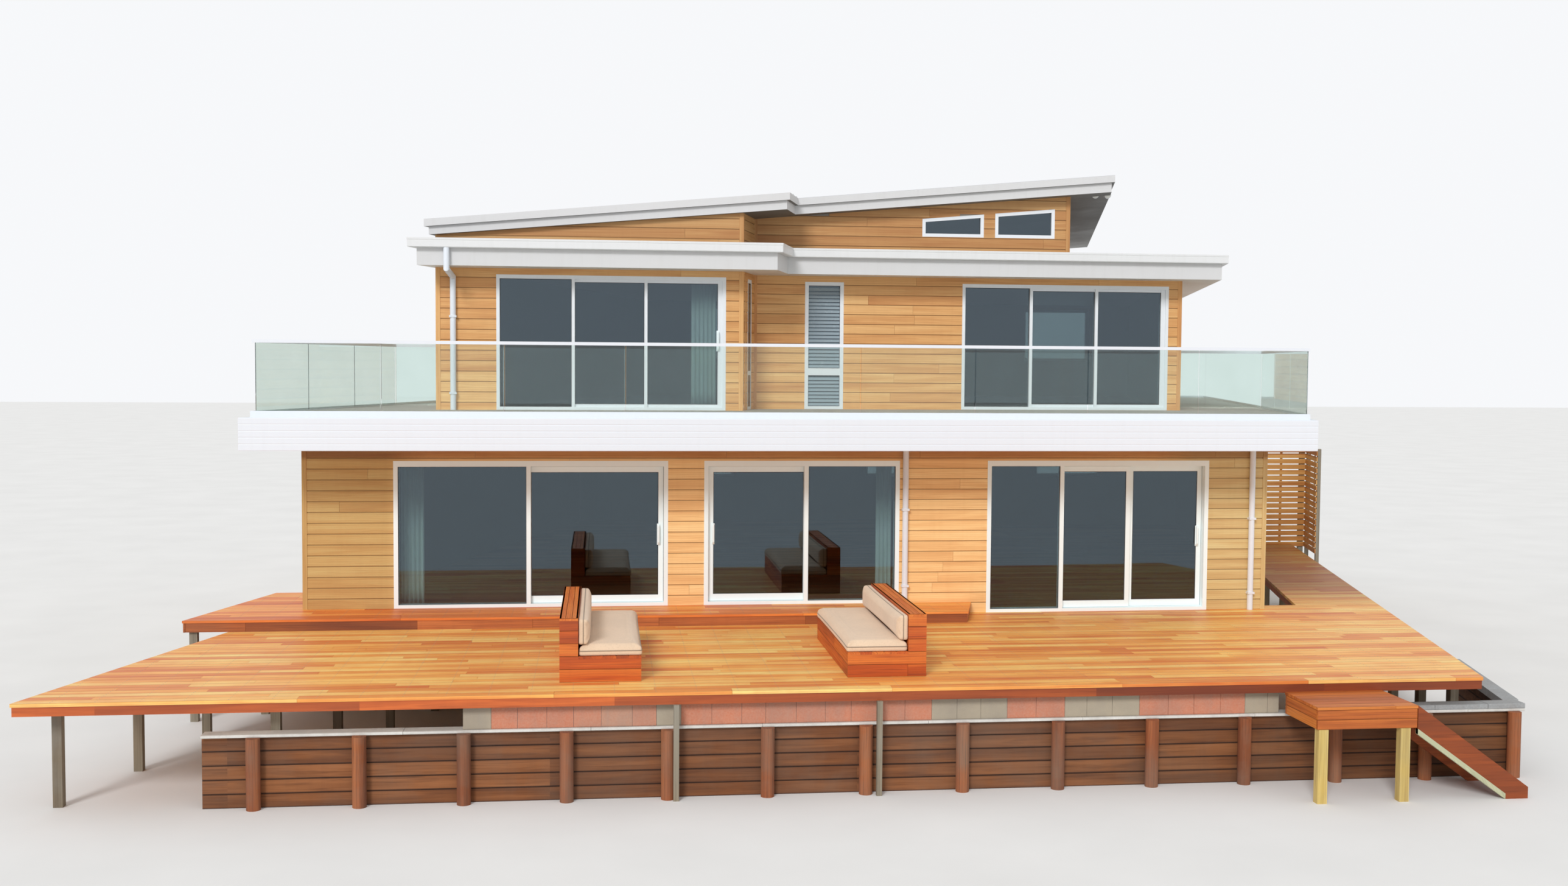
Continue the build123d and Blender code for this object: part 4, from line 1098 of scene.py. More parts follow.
def clad(name, names, seed, finish):
    """Weatherboards and corner boards on the outside of one storey."""
    sizes = bpy.context.scene.house_sizes
    depth = sizes.board_depth
    cover = sizes.cover
    edge = cover - sizes.groove
    front = [(0.0, depth - 0.004), (0.004, depth), (edge - 0.003, depth - 0.001), (edge, depth - 0.004),
             (edge, 0.003), (cover, 0.003)]
    out = depth + CORNER_PROUD
    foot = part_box("lower_walls")[0].z
    boards = Stock()
    corners = Stock()
    for index, (side, face) in enumerate(outer_faces(names)):
        lay_rows(boards, face, foot, cover, front, SUNK, WEATHERBOARD_LEN, seed + index * 17)
        for end, inward in zip(face.reach()[:2], (1, -1)):
            levels = face.flat[abs(face.flat[:, :, 0] - end) < 0.03][:, 1]
            concave = side == "front" and inward > 0 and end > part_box(names[0])[0].x + 1.0 and index
            if not len(levels) or concave:
                continue
            lap = out if side in ("front", "back") else 0.0
            lo, hi = sorted((end - inward * lap, end + inward * sizes.corner_w))
            ring = [(lo, SUNK), (lo, out - 0.002), (lo + 0.002, out), (hi - 0.002, out), (hi, out - 0.002),
                    (hi, SUNK)]
            rings = [[face.place(u, v, d) for u, d in ring] for v in (levels.min(), levels.max())]
            corners.prism(*rings, 0.35 + 0.3 * ((index * 7) % 5) / 4)
    boards.finish(name + "_weatherboards", finish, "cedar")
    corners.finish(name + "_corner_boards", finish, "cedar")


class HOUSE_OT_cladding(bpy.types.Operator):
    """Cedar weatherboards and corner boards on the walls of all storeys"""

    bl_idname = "house.cladding"
    bl_label = "Weatherboards"

    def execute(self, context):
        seed = context.scene.house_stage.seed
        clad("lower", ["lower_walls", "lower_front_piers", "lower_front_header"], seed, "pale_cedar")
        clad("upper", ["upper_walls"], seed + 101, "cedar")
        clad("clerestory", ["clerestory_walls"], seed + 211, "deep_cedar")
        return {"FINISHED"}


class HOUSE_OT_balcony(bpy.types.Operator):
    """Grooved white fascia around the balcony, the lining under it and its paving"""

    bl_idname = "house.balcony"
    bl_label = "Balcony"

    FASCIA_ROWS = 5
    GROOVE = 0.003
    KERB_T = 0.03
    LINING_W = 0.20
    PAVER = 0.60

    def execute(self, context):
        low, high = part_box("balcony_fascia")
        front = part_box("balcony_slab")[0].y
        wide = front - low.y
        groove = wide - self.GROOVE
        top = min(z for z in triangles(["balcony_fascia"])[:, :, 2].ravel() if z > low.z + 0.2)
        step = (top - low.z) / self.FASCIA_ROWS
        section = [(0.002, low.z), (groove, low.z)]
        for i in range(self.FASCIA_ROWS):
            z = low.z + i * step
            section += [(groove, z + 0.002), (wide, z + 0.010), (wide, z + step - 0.008),
                        (groove, z + step - 0.002)]
        section += [(groove, top), (self.KERB_T, top), (self.KERB_T, high.z - 0.003),
                    (self.KERB_T - 0.003, high.z), (0.002, high.z)]
        fascia = Stock()
        fascia.rim(plan_of("balcony_slab"), section)
        fascia.finish("balcony_fascia_boards", "white", "white_metal", replaces=["balcony_fascia"])
        lining = Stock()
        lay_rows(lining, face_of(["balcony_slab"], -UP, stack=BACK), front, self.LINING_W,
                 flat_board(self.LINING_W, 0.006, 0.003, 0.007), SUNK, 5.0, 31)
        lining.finish("balcony_soffit_lining", "eaves", "white_metal")
        floor = Stock()
        lay_rows(floor, face_of(["balcony_slab"], UP, stack=BACK), front, self.PAVER,
                 flat_board(self.PAVER, 0.004, 0.001, 0.008), SUNK, 0.9, 37)
        floor.finish("balcony_paving", "concrete", "masonry")
        return {"FINISHED"}


class HOUSE_OT_roofs(bpy.types.Operator):
    """Gutter channel with rolled lip, roof sheet ribs and pipe brackets"""

    bl_idname = "house.roofs"
    bl_label = "Roofs and gutter"

    LIP = 0.011
    RIB_H = 0.028
    TOP_SHARE = 0.7          # height of the top roof's ribs against the lower roof's
    SHEET_LEN = 30.0         # longer than any fall, so no rib has a joint
    BRACKET_H = 0.03

    def gutter(self):
        """The channel, carried round the lower roof."""
        low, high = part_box("roof_gutter")
        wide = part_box("mid_roof")[0].y - low.y
        foot, top = low.z, high.z
        inside = wide - self.LIP - 0.002
        section = [
            (0.001, foot), (wide - 0.012, foot), (wide - 0.004, foot + 0.010), (wide - 0.004, top - 0.034),
            (wide, top - 0.028), (wide, top - 0.004), (wide - 0.004, top), (wide - self.LIP, top),
            (inside, top - 0.006), (inside, foot + 0.012), (0.012, foot + 0.008), (0.004, top - 0.02),
            (0.001, top - 0.02)]
        channel = Stock()
        channel.rim(plan_of("mid_roof"), section)
        channel.finish("gutter_channel", "gutter", "white_metal", replaces=["roof_gutter"])

    def ribs(self, step):
        """Ribs of both roof sheets, each along its fall."""
        half = step / 2
        rib = [(0.0, 0.002), (half - 0.03, 0.002), (half - 0.014, self.RIB_H), (half + 0.014, self.RIB_H),
               (half + 0.03, 0.002), (step, 0.002)]
        ribs = Stock()
        lower = face_of(["mid_roof"], UP, stack=ACROSS)
        lay_rows(ribs, lower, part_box("roof_gutter")[0].x, step, rib, SUNK, self.SHEET_LEN, 41)
        _, units, areas = facets(["top_roof"])
        normal = Vector(units[np.argmax(units[:, 2] * areas)]).normalized()
        fall = Vector((normal.z, 0, -normal.x)).normalized()
        slope = face_of(["top_roof"], normal, stack=normal.cross(fall))
        v0, v1 = slope.reach()[2:]
        start = v0 + step * 0.8
        flatter = [(v, d * self.TOP_SHARE) for v, d in rib]
        lay_rows(ribs, slope, start, step, flatter, SUNK, self.SHEET_LEN, 43, shy=0.01, within=(start, v1))
        ribs.finish("roof_sheet_ribs", "sheet", "roof_sheet")

    def execute(self, context):
        sizes = context.scene.house_sizes
        self.gutter()
        self.ribs(sizes.rib_step)
        points = triangles(["downpipes"]).reshape(-1, 3)
        for index, (low, high) in enumerate(solids("downpipes")):
            foot = points[(points[:, 0] > low.x - 0.001) & (points[:, 0] < high.x + 0.001)
                          & (points[:, 2] < low.z + 0.05)]
            x, y = (foot[:, :2].min(0) + foot[:, :2].max(0)) / 2
            wide, deep = np.ptp(foot[:, 0]) + 0.016, np.ptp(foot[:, 1]) + 0.012
            grown("pipe_brackets_%d" % index, bar_run, {
                "Count": int((high.z - low.z - 0.5) / sizes.bracket_step) + 1,
                "Start": (x, y, low.z + 0.25),
                "Step": (0, 0, sizes.bracket_step),
                "Bar Size": (wide, deep, self.BRACKET_H)}, "white")
        return {"FINISHED"}


class HOUSE_OT_lamp(bpy.types.Operator):
    """Twin floodlight under the top roof's eave"""

    bl_idname = "house.lamp"
    bl_label = "Floodlight"

    X = 5.0
    Y = 2.0
    HEAD_R = 0.050
    RIM_R = 0.056
    LENS_R = 0.047
    ARM_R = 0.012

    def execute(self, context):
        x, y, z = self.X, self.Y, surface_at("top_roof", 2, self.X, self.Y)
        body = Stock()
        lens = Stock()
        body.box((x - 0.09, y - 0.05, z - 0.035), (x + 0.09, y + 0.05, z + 0.004), chamfer=0.006)
        for side in (-1, 1):
            rear = Vector((x + side * 0.075, y + 0.03, z - 0.085))
            front = Vector((x + side * 0.10, y - 0.075, z - 0.125))
            way = front - rear
            body.tube([(x + side * 0.05, y, z - 0.03), rear], self.ARM_R, 8)
            body.tube([rear, front], self.HEAD_R, 16)
            body.tube([front, front + way * 0.12], self.RIM_R, 16)
            lens.tube([front + way * 0.10, front + way * 0.16], self.LENS_R, 16)
        body.finish("floodlight", "white", "white_metal")
        lens.finish("floodlight_lenses", "lamp", "clear_glass")
        return {"FINISHED"}


# Windows and doors


class HOUSE_OT_joinery(bpy.types.Operator):
    """Glazing gaskets, pull handles, and dark sheets on the bay's side panes that paint the shade of the room
    behind
    """

    bl_idname = "house.joinery"
    bl_label = "Windows and doors"

    GASKET_W = 0.007
    PLATE_W = 0.044
    PLATE_H = 0.30
    GRIP_R = 0.015
    GRIP = ((0.004, 0.13), (0.028, 0.128), (0.040, 0.11), (0.043, 0.0))   # out and away from the middle
    BAY_PULL_Z = 5.11

    def gasket(self, stock, low, high):
        """Dark rubber line around one pane, on both sides of it."""
        w = self.GASKET_W
        for y0, y1 in ((low.y - 0.003, low.y + 0.001), (high.y - 0.001, high.y + 0.003)):
            stock.box((low.x - 0.001, y0, low.z - 0.001), (high.x + 0.001, y1, low.z + w))
            stock.box((low.x - 0.001, y0, high.z - w), (high.x + 0.001, y1, high.z + 0.001))
            stock.box((low.x - 0.001, y0, low.z + w), (low.x + w, y1, high.z - w), axis=2)
            stock.box((high.x - w, y0, low.z + w), (high.x + 0.001, y1, high.z - w), axis=2)

    def handle(self, name, x, y, z, body):
        """D-shaped pull handle on a plate, standing forward of a stile."""
        pull = Stock()
        w, h = self.PLATE_W / 2, self.PLATE_H / 2
        pull.box((x - w, y - 0.008, z - h), (x + w, y + 0.001, z + h), chamfer=0.002, axis=2)
        lower = [(x, y - out, z - rise) for out, rise in self.GRIP]
        upper = [(x, y - out, z + rise) for out, rise in reversed(self.GRIP[:-1])]
        pull.tube(lower + upper, self.GRIP_R, 12)
        pull.finish(name, "bright", "white_joinery", body)

    def execute(self, context):
        panes = solids("fixed_glass")
        fixed = Stock()
        for low, high in panes:
            if high.y - low.y < 0.03:
                self.gasket(fixed, low, high)
        fixed.finish("pane_gaskets", "gasket", "white_joinery")
        bodies = dict(zip(DOORS, ("left_door", "middle_door", "right_outer_door", "right_inner_door")))
        for door, body in bodies.items():
            seal = Stock()
            self.gasket(seal, *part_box(door + "_glass"))
            seal.finish(door + "_gasket", "gasket", "white_joinery", body)
        for door, right_hand in (("left_door", True), ("middle_door", False), ("right_outer", True)):
            low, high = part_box(door + "_sash")
            pane_low, pane_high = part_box(door + "_glass")
            x = pane_high.x + 0.002 if right_hand else pane_low.x - 0.002
            y = -face_of([door + "_sash"], FRONT).offset
            self.handle(door + "_pull", x, y, (low.z + high.z) / 2, bodies[door])
        bay = [box for box in panes if box[0].z > 4.0 and abs(box[0].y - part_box("upper_walls")[0].y) < 0.1]
        x = max(box[1].x for box in bay) + 0.002
        z = self.BAY_PULL_Z
        self.handle("bay_pull", x, surface_at("window_frames", 1, x, z), z, "house")
        # Dark sheets on the bay's side panes, painted shade of the room behind them
        face = face_of(["window_frames"], side_normals()[0])
        screens = Stock()
        for low, high in panes:
            if 0.1 <= high.y - low.y <= 0.4:
                a, b = sorted(Vector((end.x, end.y, 0)).dot(face.along) for end in (low, high))
                ring = [(a, low.z), (b, low.z), (b, high.z), (a, high.z)]
                screens.prism(*([face.place(u, v, d) for u, v in ring] for d in (-0.002, -0.005)))
        screens.finish("bay_side_panes", "dark_pane", "clear_glass")
        return {"FINISHED"}


class HOUSE_OT_louvres(bpy.types.Operator):
    """Blades of the tall louvre window"""

    bl_idname = "house.louvres"
    bl_label = "Louvres"

    TILT = math.radians(-32)
    BLADE_SHARE = 0.88       # a blade's width against the step between two

    def execute(self, context):
        step = context.scene.house_sizes.blade_step
        panes = [(low, high) for low, high in solids("fixed_glass")
                 if 0.4 < high.x - low.x < 0.55 and high.y - low.y < 0.012]
        if len(panes) != 2:
            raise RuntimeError("the louvre window's two panes weren't found")
        for index, (low, high) in enumerate(sorted(panes, key=lambda box: box[0].z)):
            grown("louvre_blades_%d" % index, bar_run, {
                "Count": int((high.z - low.z - 0.02) / step),
                "Start": ((low.x + high.x) / 2, low.y - 0.022, low.z + 0.03),
                "Step": (0, 0, step),
                "Bar Size": (high.x - low.x - 0.006, 0.006, step * self.BLADE_SHARE),
                "Turn": (self.TILT, 0, 0)}, "blade")
        return {"FINISHED"}


class HOUSE_OT_curtains(bpy.types.Operator):
    """Pale gathered curtains behind the edges of three panes, on short rails"""

    bl_idname = "house.curtains"
    bl_label = "Curtains"

    ROWS = 8
    FOLD_STEPS = 12
    FOLD_DEPTH = 0.032
    HALF_CLOTH = 0.0007
    OFF_WALL = 0.055
    RAIL_OVER = 0.04
    RAIL_DEPTH = 0.11
    RAIL_H = 0.03
    BAY_INNER = 0.951        # inside of the bay's front wall

    def hang(self, name, x0, x1, wall_y, z0, z1, folds, seed):
        """One curtain on its rail, a thin closed cloth in even folds that open towards the hem."""
        rail = Stock()
        rail.box((x0 - self.RAIL_OVER, wall_y, z1),
                 (x1 + self.RAIL_OVER, wall_y + self.RAIL_DEPTH, z1 + self.RAIL_H), chamfer=0.003)
        rail_piece = rail.finish(name + "_rail", "joinery", "white_joinery")
        dice = random.Random(seed)
        steps = folds * self.FOLD_STEPS
        shift = [dice.uniform(-0.3, 0.3) for _ in range(steps + 1)]
        points = []
        width = 0.0
        for side in (self.HALF_CLOTH, -self.HALF_CLOTH):
            for r in range(self.ROWS + 1):
                drop = 1 - r / self.ROWS
                deep = self.FOLD_DEPTH * (0.55 + 0.45 * drop)
                line = []
                for i in range(steps + 1):
                    fold = i // self.FOLD_STEPS * self.FOLD_STEPS
                    turn = 2 * math.pi * folds * i / steps + shift[fold] * drop
                    y = wall_y + self.OFF_WALL + deep * math.sin(turn) + side
                    line.append(Vector((x0 + (x1 - x0) * i / steps, y, z0 + (z1 - z0) * r / self.ROWS)))
                width = max(width, sum((b - a).length for a, b in zip(line, line[1:])))
                points += line
        n = steps + 1
        half = (self.ROWS + 1) * n
        faces = []
        for a in (r * n + i for r in range(self.ROWS) for i in range(steps)):
            faces.append([a, a + 1, a + n + 1, a + n])
            faces.append([half + a, half + a + n, half + a + n + 1, half + a + 1])
        border = list(range(steps)) + list(range(steps, half - 1, n))
        border += list(range(half - 1, half - n, -1)) + list(range(half - n, 0, -n))
        for a, b in zip(border, border[1:] + border[:1]):
            faces.append([half + a, half + b, b, a])
        cloth = Stock()
        cloth.add(points, faces)
        piece = cloth.finish(name, "sheer", "cushion_cloth", smooth=True)

    def execute(self, context):
        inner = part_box("lower_front_piers")[1].y
        panes = [box for box in solids("fixed_glass") if box[1].x - box[0].x > 0.9]
        panes.sort(key=lambda box: box[0].x)
        left, middle = [box for box in panes if box[0].y < 0 and box[1].z < 4][:2]
        bay = [box for box in panes if 0.5 < box[0].y < 1.2][-1]
        self.hang("left_curtain", left[0].x + 0.01, left[0].x + 0.33, inner, left[0].z - 0.02,
                  left[1].z + 0.08, 5, 3)
        self.hang("middle_curtain", middle[1].x - 0.24, middle[1].x - 0.01, inner, middle[0].z - 0.02,
                  middle[1].z + 0.08, 4, 5)
        self.hang("bay_curtain", bay[1].x - 0.38, bay[1].x - 0.01, self.BAY_INNER, bay[0].z - 0.03,
                  bay[1].z + 0.04, 6, 7)
        return {"FINISHED"}


# Deck, steps, benches


TOP_T = 0.032            # boards on top of the step and the landing
SCREW_H = 0.002


def screws(name, face, start, pitch):
    """Two screws in every board on every joist."""
    sizes = bpy.context.scene.house_sizes
    step = sizes.joist_step
    v0, v1 = face.reach()[2:]
    points = []
    for k in range(int((v1 - start) / pitch + 0.5)):
        for part in (0.24, 0.76):
            v = start + (k + part) * pitch
            if not v0 + 0.01 < v < v1 - 0.01:
                continue
            for a, b in face.spans(v):
                u = math.ceil((a + 0.02) / step) * step
                while u < b - 0.02:
                    points.append(face.place(u, v, -0.0005))
                    u += step
    grown(name, round_heads, {"Radius": sizes.screw_r, "Height": SCREW_H}, "steel", points)


class HOUSE_OT_deck(bpy.types.Operator):
    """Hardwood boards of the deck, walkway and step, with their screws"""

    bl_idname = "house.deck"
    bl_label = "Deck boards"

    RISER_LEN = 2.6

    def execute(self, context):
        sizes = context.scene.house_sizes
        pitch = sizes.deck_board
        plank = flat_board(pitch, sizes.deck_gap, 0.003)
        deck_low, deck_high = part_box("main_deck")
        thick = deck_high.z - deck_low.z
        low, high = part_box("deck_step")
        for name, node, start, depth, seed in (
                ("deck", "main_deck", deck_low.y, thick, 51),
                ("walkway", "side_walkway", deck_high.y, thick, 53),
                ("step", "deck_step", low.y, TOP_T, 57)):
            boards = Stock()
            face = face_of([node], UP, stack=BACK)
            lay_rows(boards, face, start, pitch, plank, -depth, sizes.deck_len, seed)
            boards.finish(name + "_boards", name, "deck_hardwood", replaces=[node])
            screws(name + "_screws", face, start, pitch)
        riser = Stock()
        right, left = side_normals()
        tall = high.z - low.z
        board = [(0.0, -0.012), (tall - 0.034, -0.012)]
        for index, way in enumerate((FRONT, left, right, BACK)):
            face = face_of(["deck_step"], way)
            lay_rows(riser, face, low.z, tall, board, -0.034, self.RISER_LEN, 61 + index, shy=0.012)
        riser.finish("step_risers", "riser", "deck_hardwood")
        return {"FINISHED"}


class HOUSE_OT_landing(bpy.types.Operator):
    """Boards of the lower landing and the pale strip under the stair's near string"""

    bl_idname = "house.landing"
    bl_label = "Landing and stair"

    BOARD_LEN = 3.0
    CORE_IN = 0.042
    STRIP_W = 0.05

    def execute(self, context):
        sizes = context.scene.house_sizes
        pitch = sizes.deck_board
        low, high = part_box("landing")
        plank = flat_board(pitch, sizes.deck_gap, 0.003)
        boards = Stock()
        face = face_of(["landing"], UP, stack=BACK)
        lay_rows(boards, face, low.y, pitch, plank, -TOP_T, self.BOARD_LEN, 71)
        under = high.z - 0.034
        deep = (under - low.z) / 2
        skirt = flat_board(deep, 0.004, 0.002, -0.006)
        for index, way in enumerate((FRONT, BACK, ACROSS, -ACROSS)):
            face = face_of(["landing"], way)
            lay_rows(boards, face, low.z, deep, skirt, -0.040, self.BOARD_LEN, 73 + index,
                     shy=0.041 if way.x else 0.0065, within=(low.z, under))
        inset = Vector((self.CORE_IN, self.CORE_IN, 0))
        boards.box(low + inset + UP * 0.04, Vector((high.x, high.y, under)) - inset, 0.0)
        boards.finish("landing_boards", "landing", "deck_hardwood", replaces=["landing"])
        low, high = min(solids("stair_stringers"), key=lambda box: box[0].y)
        face = face_of(["stair_stringers"], FRONT, near=-low.y)
        corners = outline_of(face)
        edges = sorted(zip(corners, corners[1:] + corners[:1]), key=lambda e: -math.dist(*e))[:2]
        (u0, v0), (u1, v1) = min(edges, key=lambda e: e[0][1] + e[1][1])
        lift = self.STRIP_W * math.dist((u0, v0), (u1, v1)) / abs(u1 - u0)
        ring = [(u0, v0 - 0.002), (u1, v1 - 0.002), (u1, v1 + lift), (u0, v0 + lift)]
        ends = (0.004, low.y - high.y - 0.004)
        strip = Stock()
        strip.prism(*([face.place(u, max(v, 0.0), d) for u, v in ring] for d in ends), 0.6)
        strip.finish("stair_pale_strips", "strip", "framing_timber")
        return {"FINISHED"}


class HOUSE_OT_benches(bpy.types.Operator):
    """Board-clad benches over a dark core, painted shade inside them"""

    bl_idname = "house.benches"
    bl_label = "Benches"

    CAP = 0.028
    INSET = 0.0225
    SIDE_T = 0.022
    TOP_BOARDS = 3
    TOP_TINTS = (0.85, 1.0)
    SEAT_BOARD = 0.141

    def execute(self, context):
        pitch = context.scene.house_sizes.bench_board
        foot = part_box("benches")[0].z
        cap, inset = self.CAP, self.INSET
        boards = Stock()
        core = Stock()
        tris = triangles(["benches"])
        seat_z = sorted({round(z, 3) for z in tris[:, :, 2].ravel()})[1]
        benches = solids("benches")
        for index, (a, b) in enumerate(benches):
            top = face_of(["benches"], UP, stack=ACROSS).between(a.x - 0.01, b.x + 0.01)
            v0, v1 = top.reach()[2:]
            width = (v1 - v0) / self.TOP_BOARDS
            lay_rows(boards, top, v0, width, flat_board(width, 0.003, 0.002), -cap, 2.0, 81 + index,
                     tints=self.TOP_TINTS)
            core.box((v0 + inset, a.y + inset, seat_z - 0.1), (v1 - inset, b.y - inset, b.z - cap - 0.001))
            core.box((a.x + inset, a.y + inset, a.z), (b.x - inset, b.y - inset, seat_z - cap - 0.001))
        seat_board = flat_board(self.SEAT_BOARD, 0.006, 0.003)
        for index, (a, b) in enumerate(benches):
            seat = face_of(["benches"], UP, near=seat_z, stack=ACROSS).between(a.x - 0.01, b.x + 0.01)
            lay_rows(boards, seat, seat.reach()[2], self.SEAT_BOARD, seat_board, -cap, 4.0, 83 + index)
        side = flat_board(pitch, 0.003, 0.002, -0.001)
        for index, way in enumerate((FRONT, BACK)):
            face = face_of(["benches"], way)
            lay_rows(boards, face, foot, pitch, side, -self.SIDE_T, 3.0, 87 + index, shy=0.001)
        levels = {round(x, 3) for x in tris[:, :, 0].ravel()}
        done = set()
        for sign, offset in sorted((sign, sign * x) for sign in (1, -1) for x in levels):
            face = face_of(["benches"], ACROSS * sign, near=offset)
            key = (sign, round(face.offset, 3))
            if key not in done:
                done.add(key)
                lay_rows(boards, face, foot, pitch, side, -self.SIDE_T, 2.6, 91 + len(done), shy=inset)
        boards.finish("bench_boards", "bench", "deck_hardwood", replaces=["benches"])
        core.finish("bench_core", "core", "deck_hardwood")
        return {"FINISHED"}


# Cushions


SEAM_ROW = 3
LENGTH_CELLS = 84
THICK_CELLS = 6
CELL_W = 0.03
ROUNDING = 0.034
PULLED_IN = 0.010        # how far the sides and the seam draw in
CLOTH_FRAMES = 20


def spaced(i, n):
    """Place of point i of n from -0.5 to 0.5, closer together near the ends."""
    t = 2 * i / n - 1
    return 0.5 * (0.6 * t + 0.4 * math.sin(math.pi * t / 2))


def rounded(point, half_l, half_w, thick, radius):
    """Point of a box moved so that the box's edges are round."""
    inner = Vector((max(radius - half_l, min(half_l - radius, point.x)),
                    max(radius - half_w, min(half_w - radius, point.y)),
                    max(radius * 0.5, min(thick - radius, point.z))))
    out = point - inner
    if out.length > radius:
        out = out * (radius / out.length)
    return inner + out


def pad_grid(length_m, wide, thick, nl, nw, nt):
    """Closed box of quads with its corner points shared: points, faces and each point's number."""
    index = {}
    points = []

    def corner(i, j, k):
        key = (i, j, k)
        if key not in index:
            index[key] = len(points)
            points.append((length_m * spaced(i, nl), wide * spaced(j, nw), thick * (spaced(k, nt) + 0.5)))
        return index[key]

    faces = []

    def quad(*corners):
        faces.append([corner(*key) for key in corners])

    for i in range(nl):
        for j in range(nw):
            quad((i, j, nt), (i + 1, j, nt), (i + 1, j + 1, nt), (i, j + 1, nt))
            quad((i, j, 0), (i, j + 1, 0), (i + 1, j + 1, 0), (i + 1, j, 0))
    for i in range(nl):
        for k in range(nt):
            quad((i, 0, k), (i + 1, 0, k), (i + 1, 0, k + 1), (i, 0, k + 1))
            quad((i, nw, k), (i, nw, k + 1), (i + 1, nw, k + 1), (i + 1, nw, k))
    for j in range(nw):
        for k in range(nt):
            quad((0, j, k), (0, j, k + 1), (0, j + 1, k + 1), (0, j + 1, k))
            quad((nl, j, k), (nl, j + 1, k), (nl, j + 1, k + 1), (nl, j, k + 1))
    return points, faces, index


def puffed(name, points, faces, held, limit):
    """Points of a closed cloth blown up a little by pressure inside it, some of them held."""
    mesh = bpy.data.meshes.new(name + "_start")
    mesh.from_pydata([tuple(point) for point in points], [], faces)
    mesh.update()
    soft = bpy.data.objects.new(name + "_soft", mesh)
    bpy.context.scene.collection.objects.link(soft)
    soft.vertex_groups.new(name="seams").add(held, 1.0, "REPLACE")
    cloth = soft.modifiers.new("stuffing", "CLOTH")
    cloth.settings.use_pressure = True
    cloth.settings.uniform_pressure_force = 4.0
    cloth.settings.effector_weights.gravity = 0.0
    cloth.settings.vertex_group_mass = "seams"
    cloth.settings.quality = 5
    cloth.settings.tension_stiffness = 12
    cloth.settings.bending_stiffness = 0.4
    cloth.point_cache.frame_start = 1
    cloth.point_cache.frame_end = CLOTH_FRAMES
    scene = bpy.context.scene
    for step in range(1, CLOTH_FRAMES + 1):
        scene.frame_set(step)
    result = bpy.data.meshes.new_from_object(soft.evaluated_get(bpy.context.evaluated_depsgraph_get()))
    moved = []
    for start, vert in zip(points, result.vertices):
        move = vert.co - start
        if move.length > limit:
            move = move * (limit / move.length)
        moved.append(start + move)
    scene.frame_set(1)
    soft.modifiers.remove(cloth)
    bpy.data.objects.remove(soft)
    bpy.data.meshes.remove(result)
    return moved


def stuffed_pad(name, length_m, wide, thick, crown):
    """Crowned pad in its own place: its points, its faces and the loop of its seam."""
    nl, nw, nt = LENGTH_CELLS, max(14, int(wide / CELL_W)), THICK_CELLS
    points, faces, index = pad_grid(length_m, wide, thick, nl, nw, nt)
    shaped = []
    for x, y, z in points:
        a = 2 * x / length_m
        b = 2 * y / wide
        c = z / thick
        dome = (1 - a ** 8) * (1 - b ** 4)
        out = 0.35 * crown * (1 - (2 * c - 1) ** 2)
        nx = math.copysign(1, a) if abs(a) > 0.999 else 0
        ny = math.copysign(1, b) if abs(b) > 0.999 else 0
        base = rounded(Vector((x, y, z)), length_m / 2, wide / 2, thick, min(ROUNDING, thick * 0.3))
        shaped.append(base + Vector((nx * out, ny * out, crown * 0.5 * dome * (c ** 2))))
    seam = [index[key] for key in index if key[2] == SEAM_ROW and (key[0] in (0, nl) or key[1] in (0, nw))]
    for number in seam:
        x, y, z = shaped[number]
        shaped[number] = Vector((x * (1 - PULLED_IN / length_m), y * (1 - PULLED_IN / wide), z))
    flat = [index[key] for key in index if key[2] == 0]
    shaped = puffed(name, shaped, faces, seam + flat, crown)
    final = []
    for point in shaped:
        a = max(-1.0, min(1.0, 2 * point.x / length_m))
        b = max(-1.0, min(1.0, 2 * point.y / wide))
        final.append(Vector((point.x * (1 - PULLED_IN / length_m * (1 - b * b)),
                             point.y * (1 - 2 * PULLED_IN / wide * (1 - a ** 4)), point.z)))
    loop = [(i, 0) for i in range(nl)] + [(nl, j) for j in range(nw)]
    loop += [(i, nw) for i in range(nl, 0, -1)] + [(0, j) for j in range(nw, 0, -1)]
    return final, faces, [final[index[(i, j, SEAM_ROW)]] for i, j in loop]


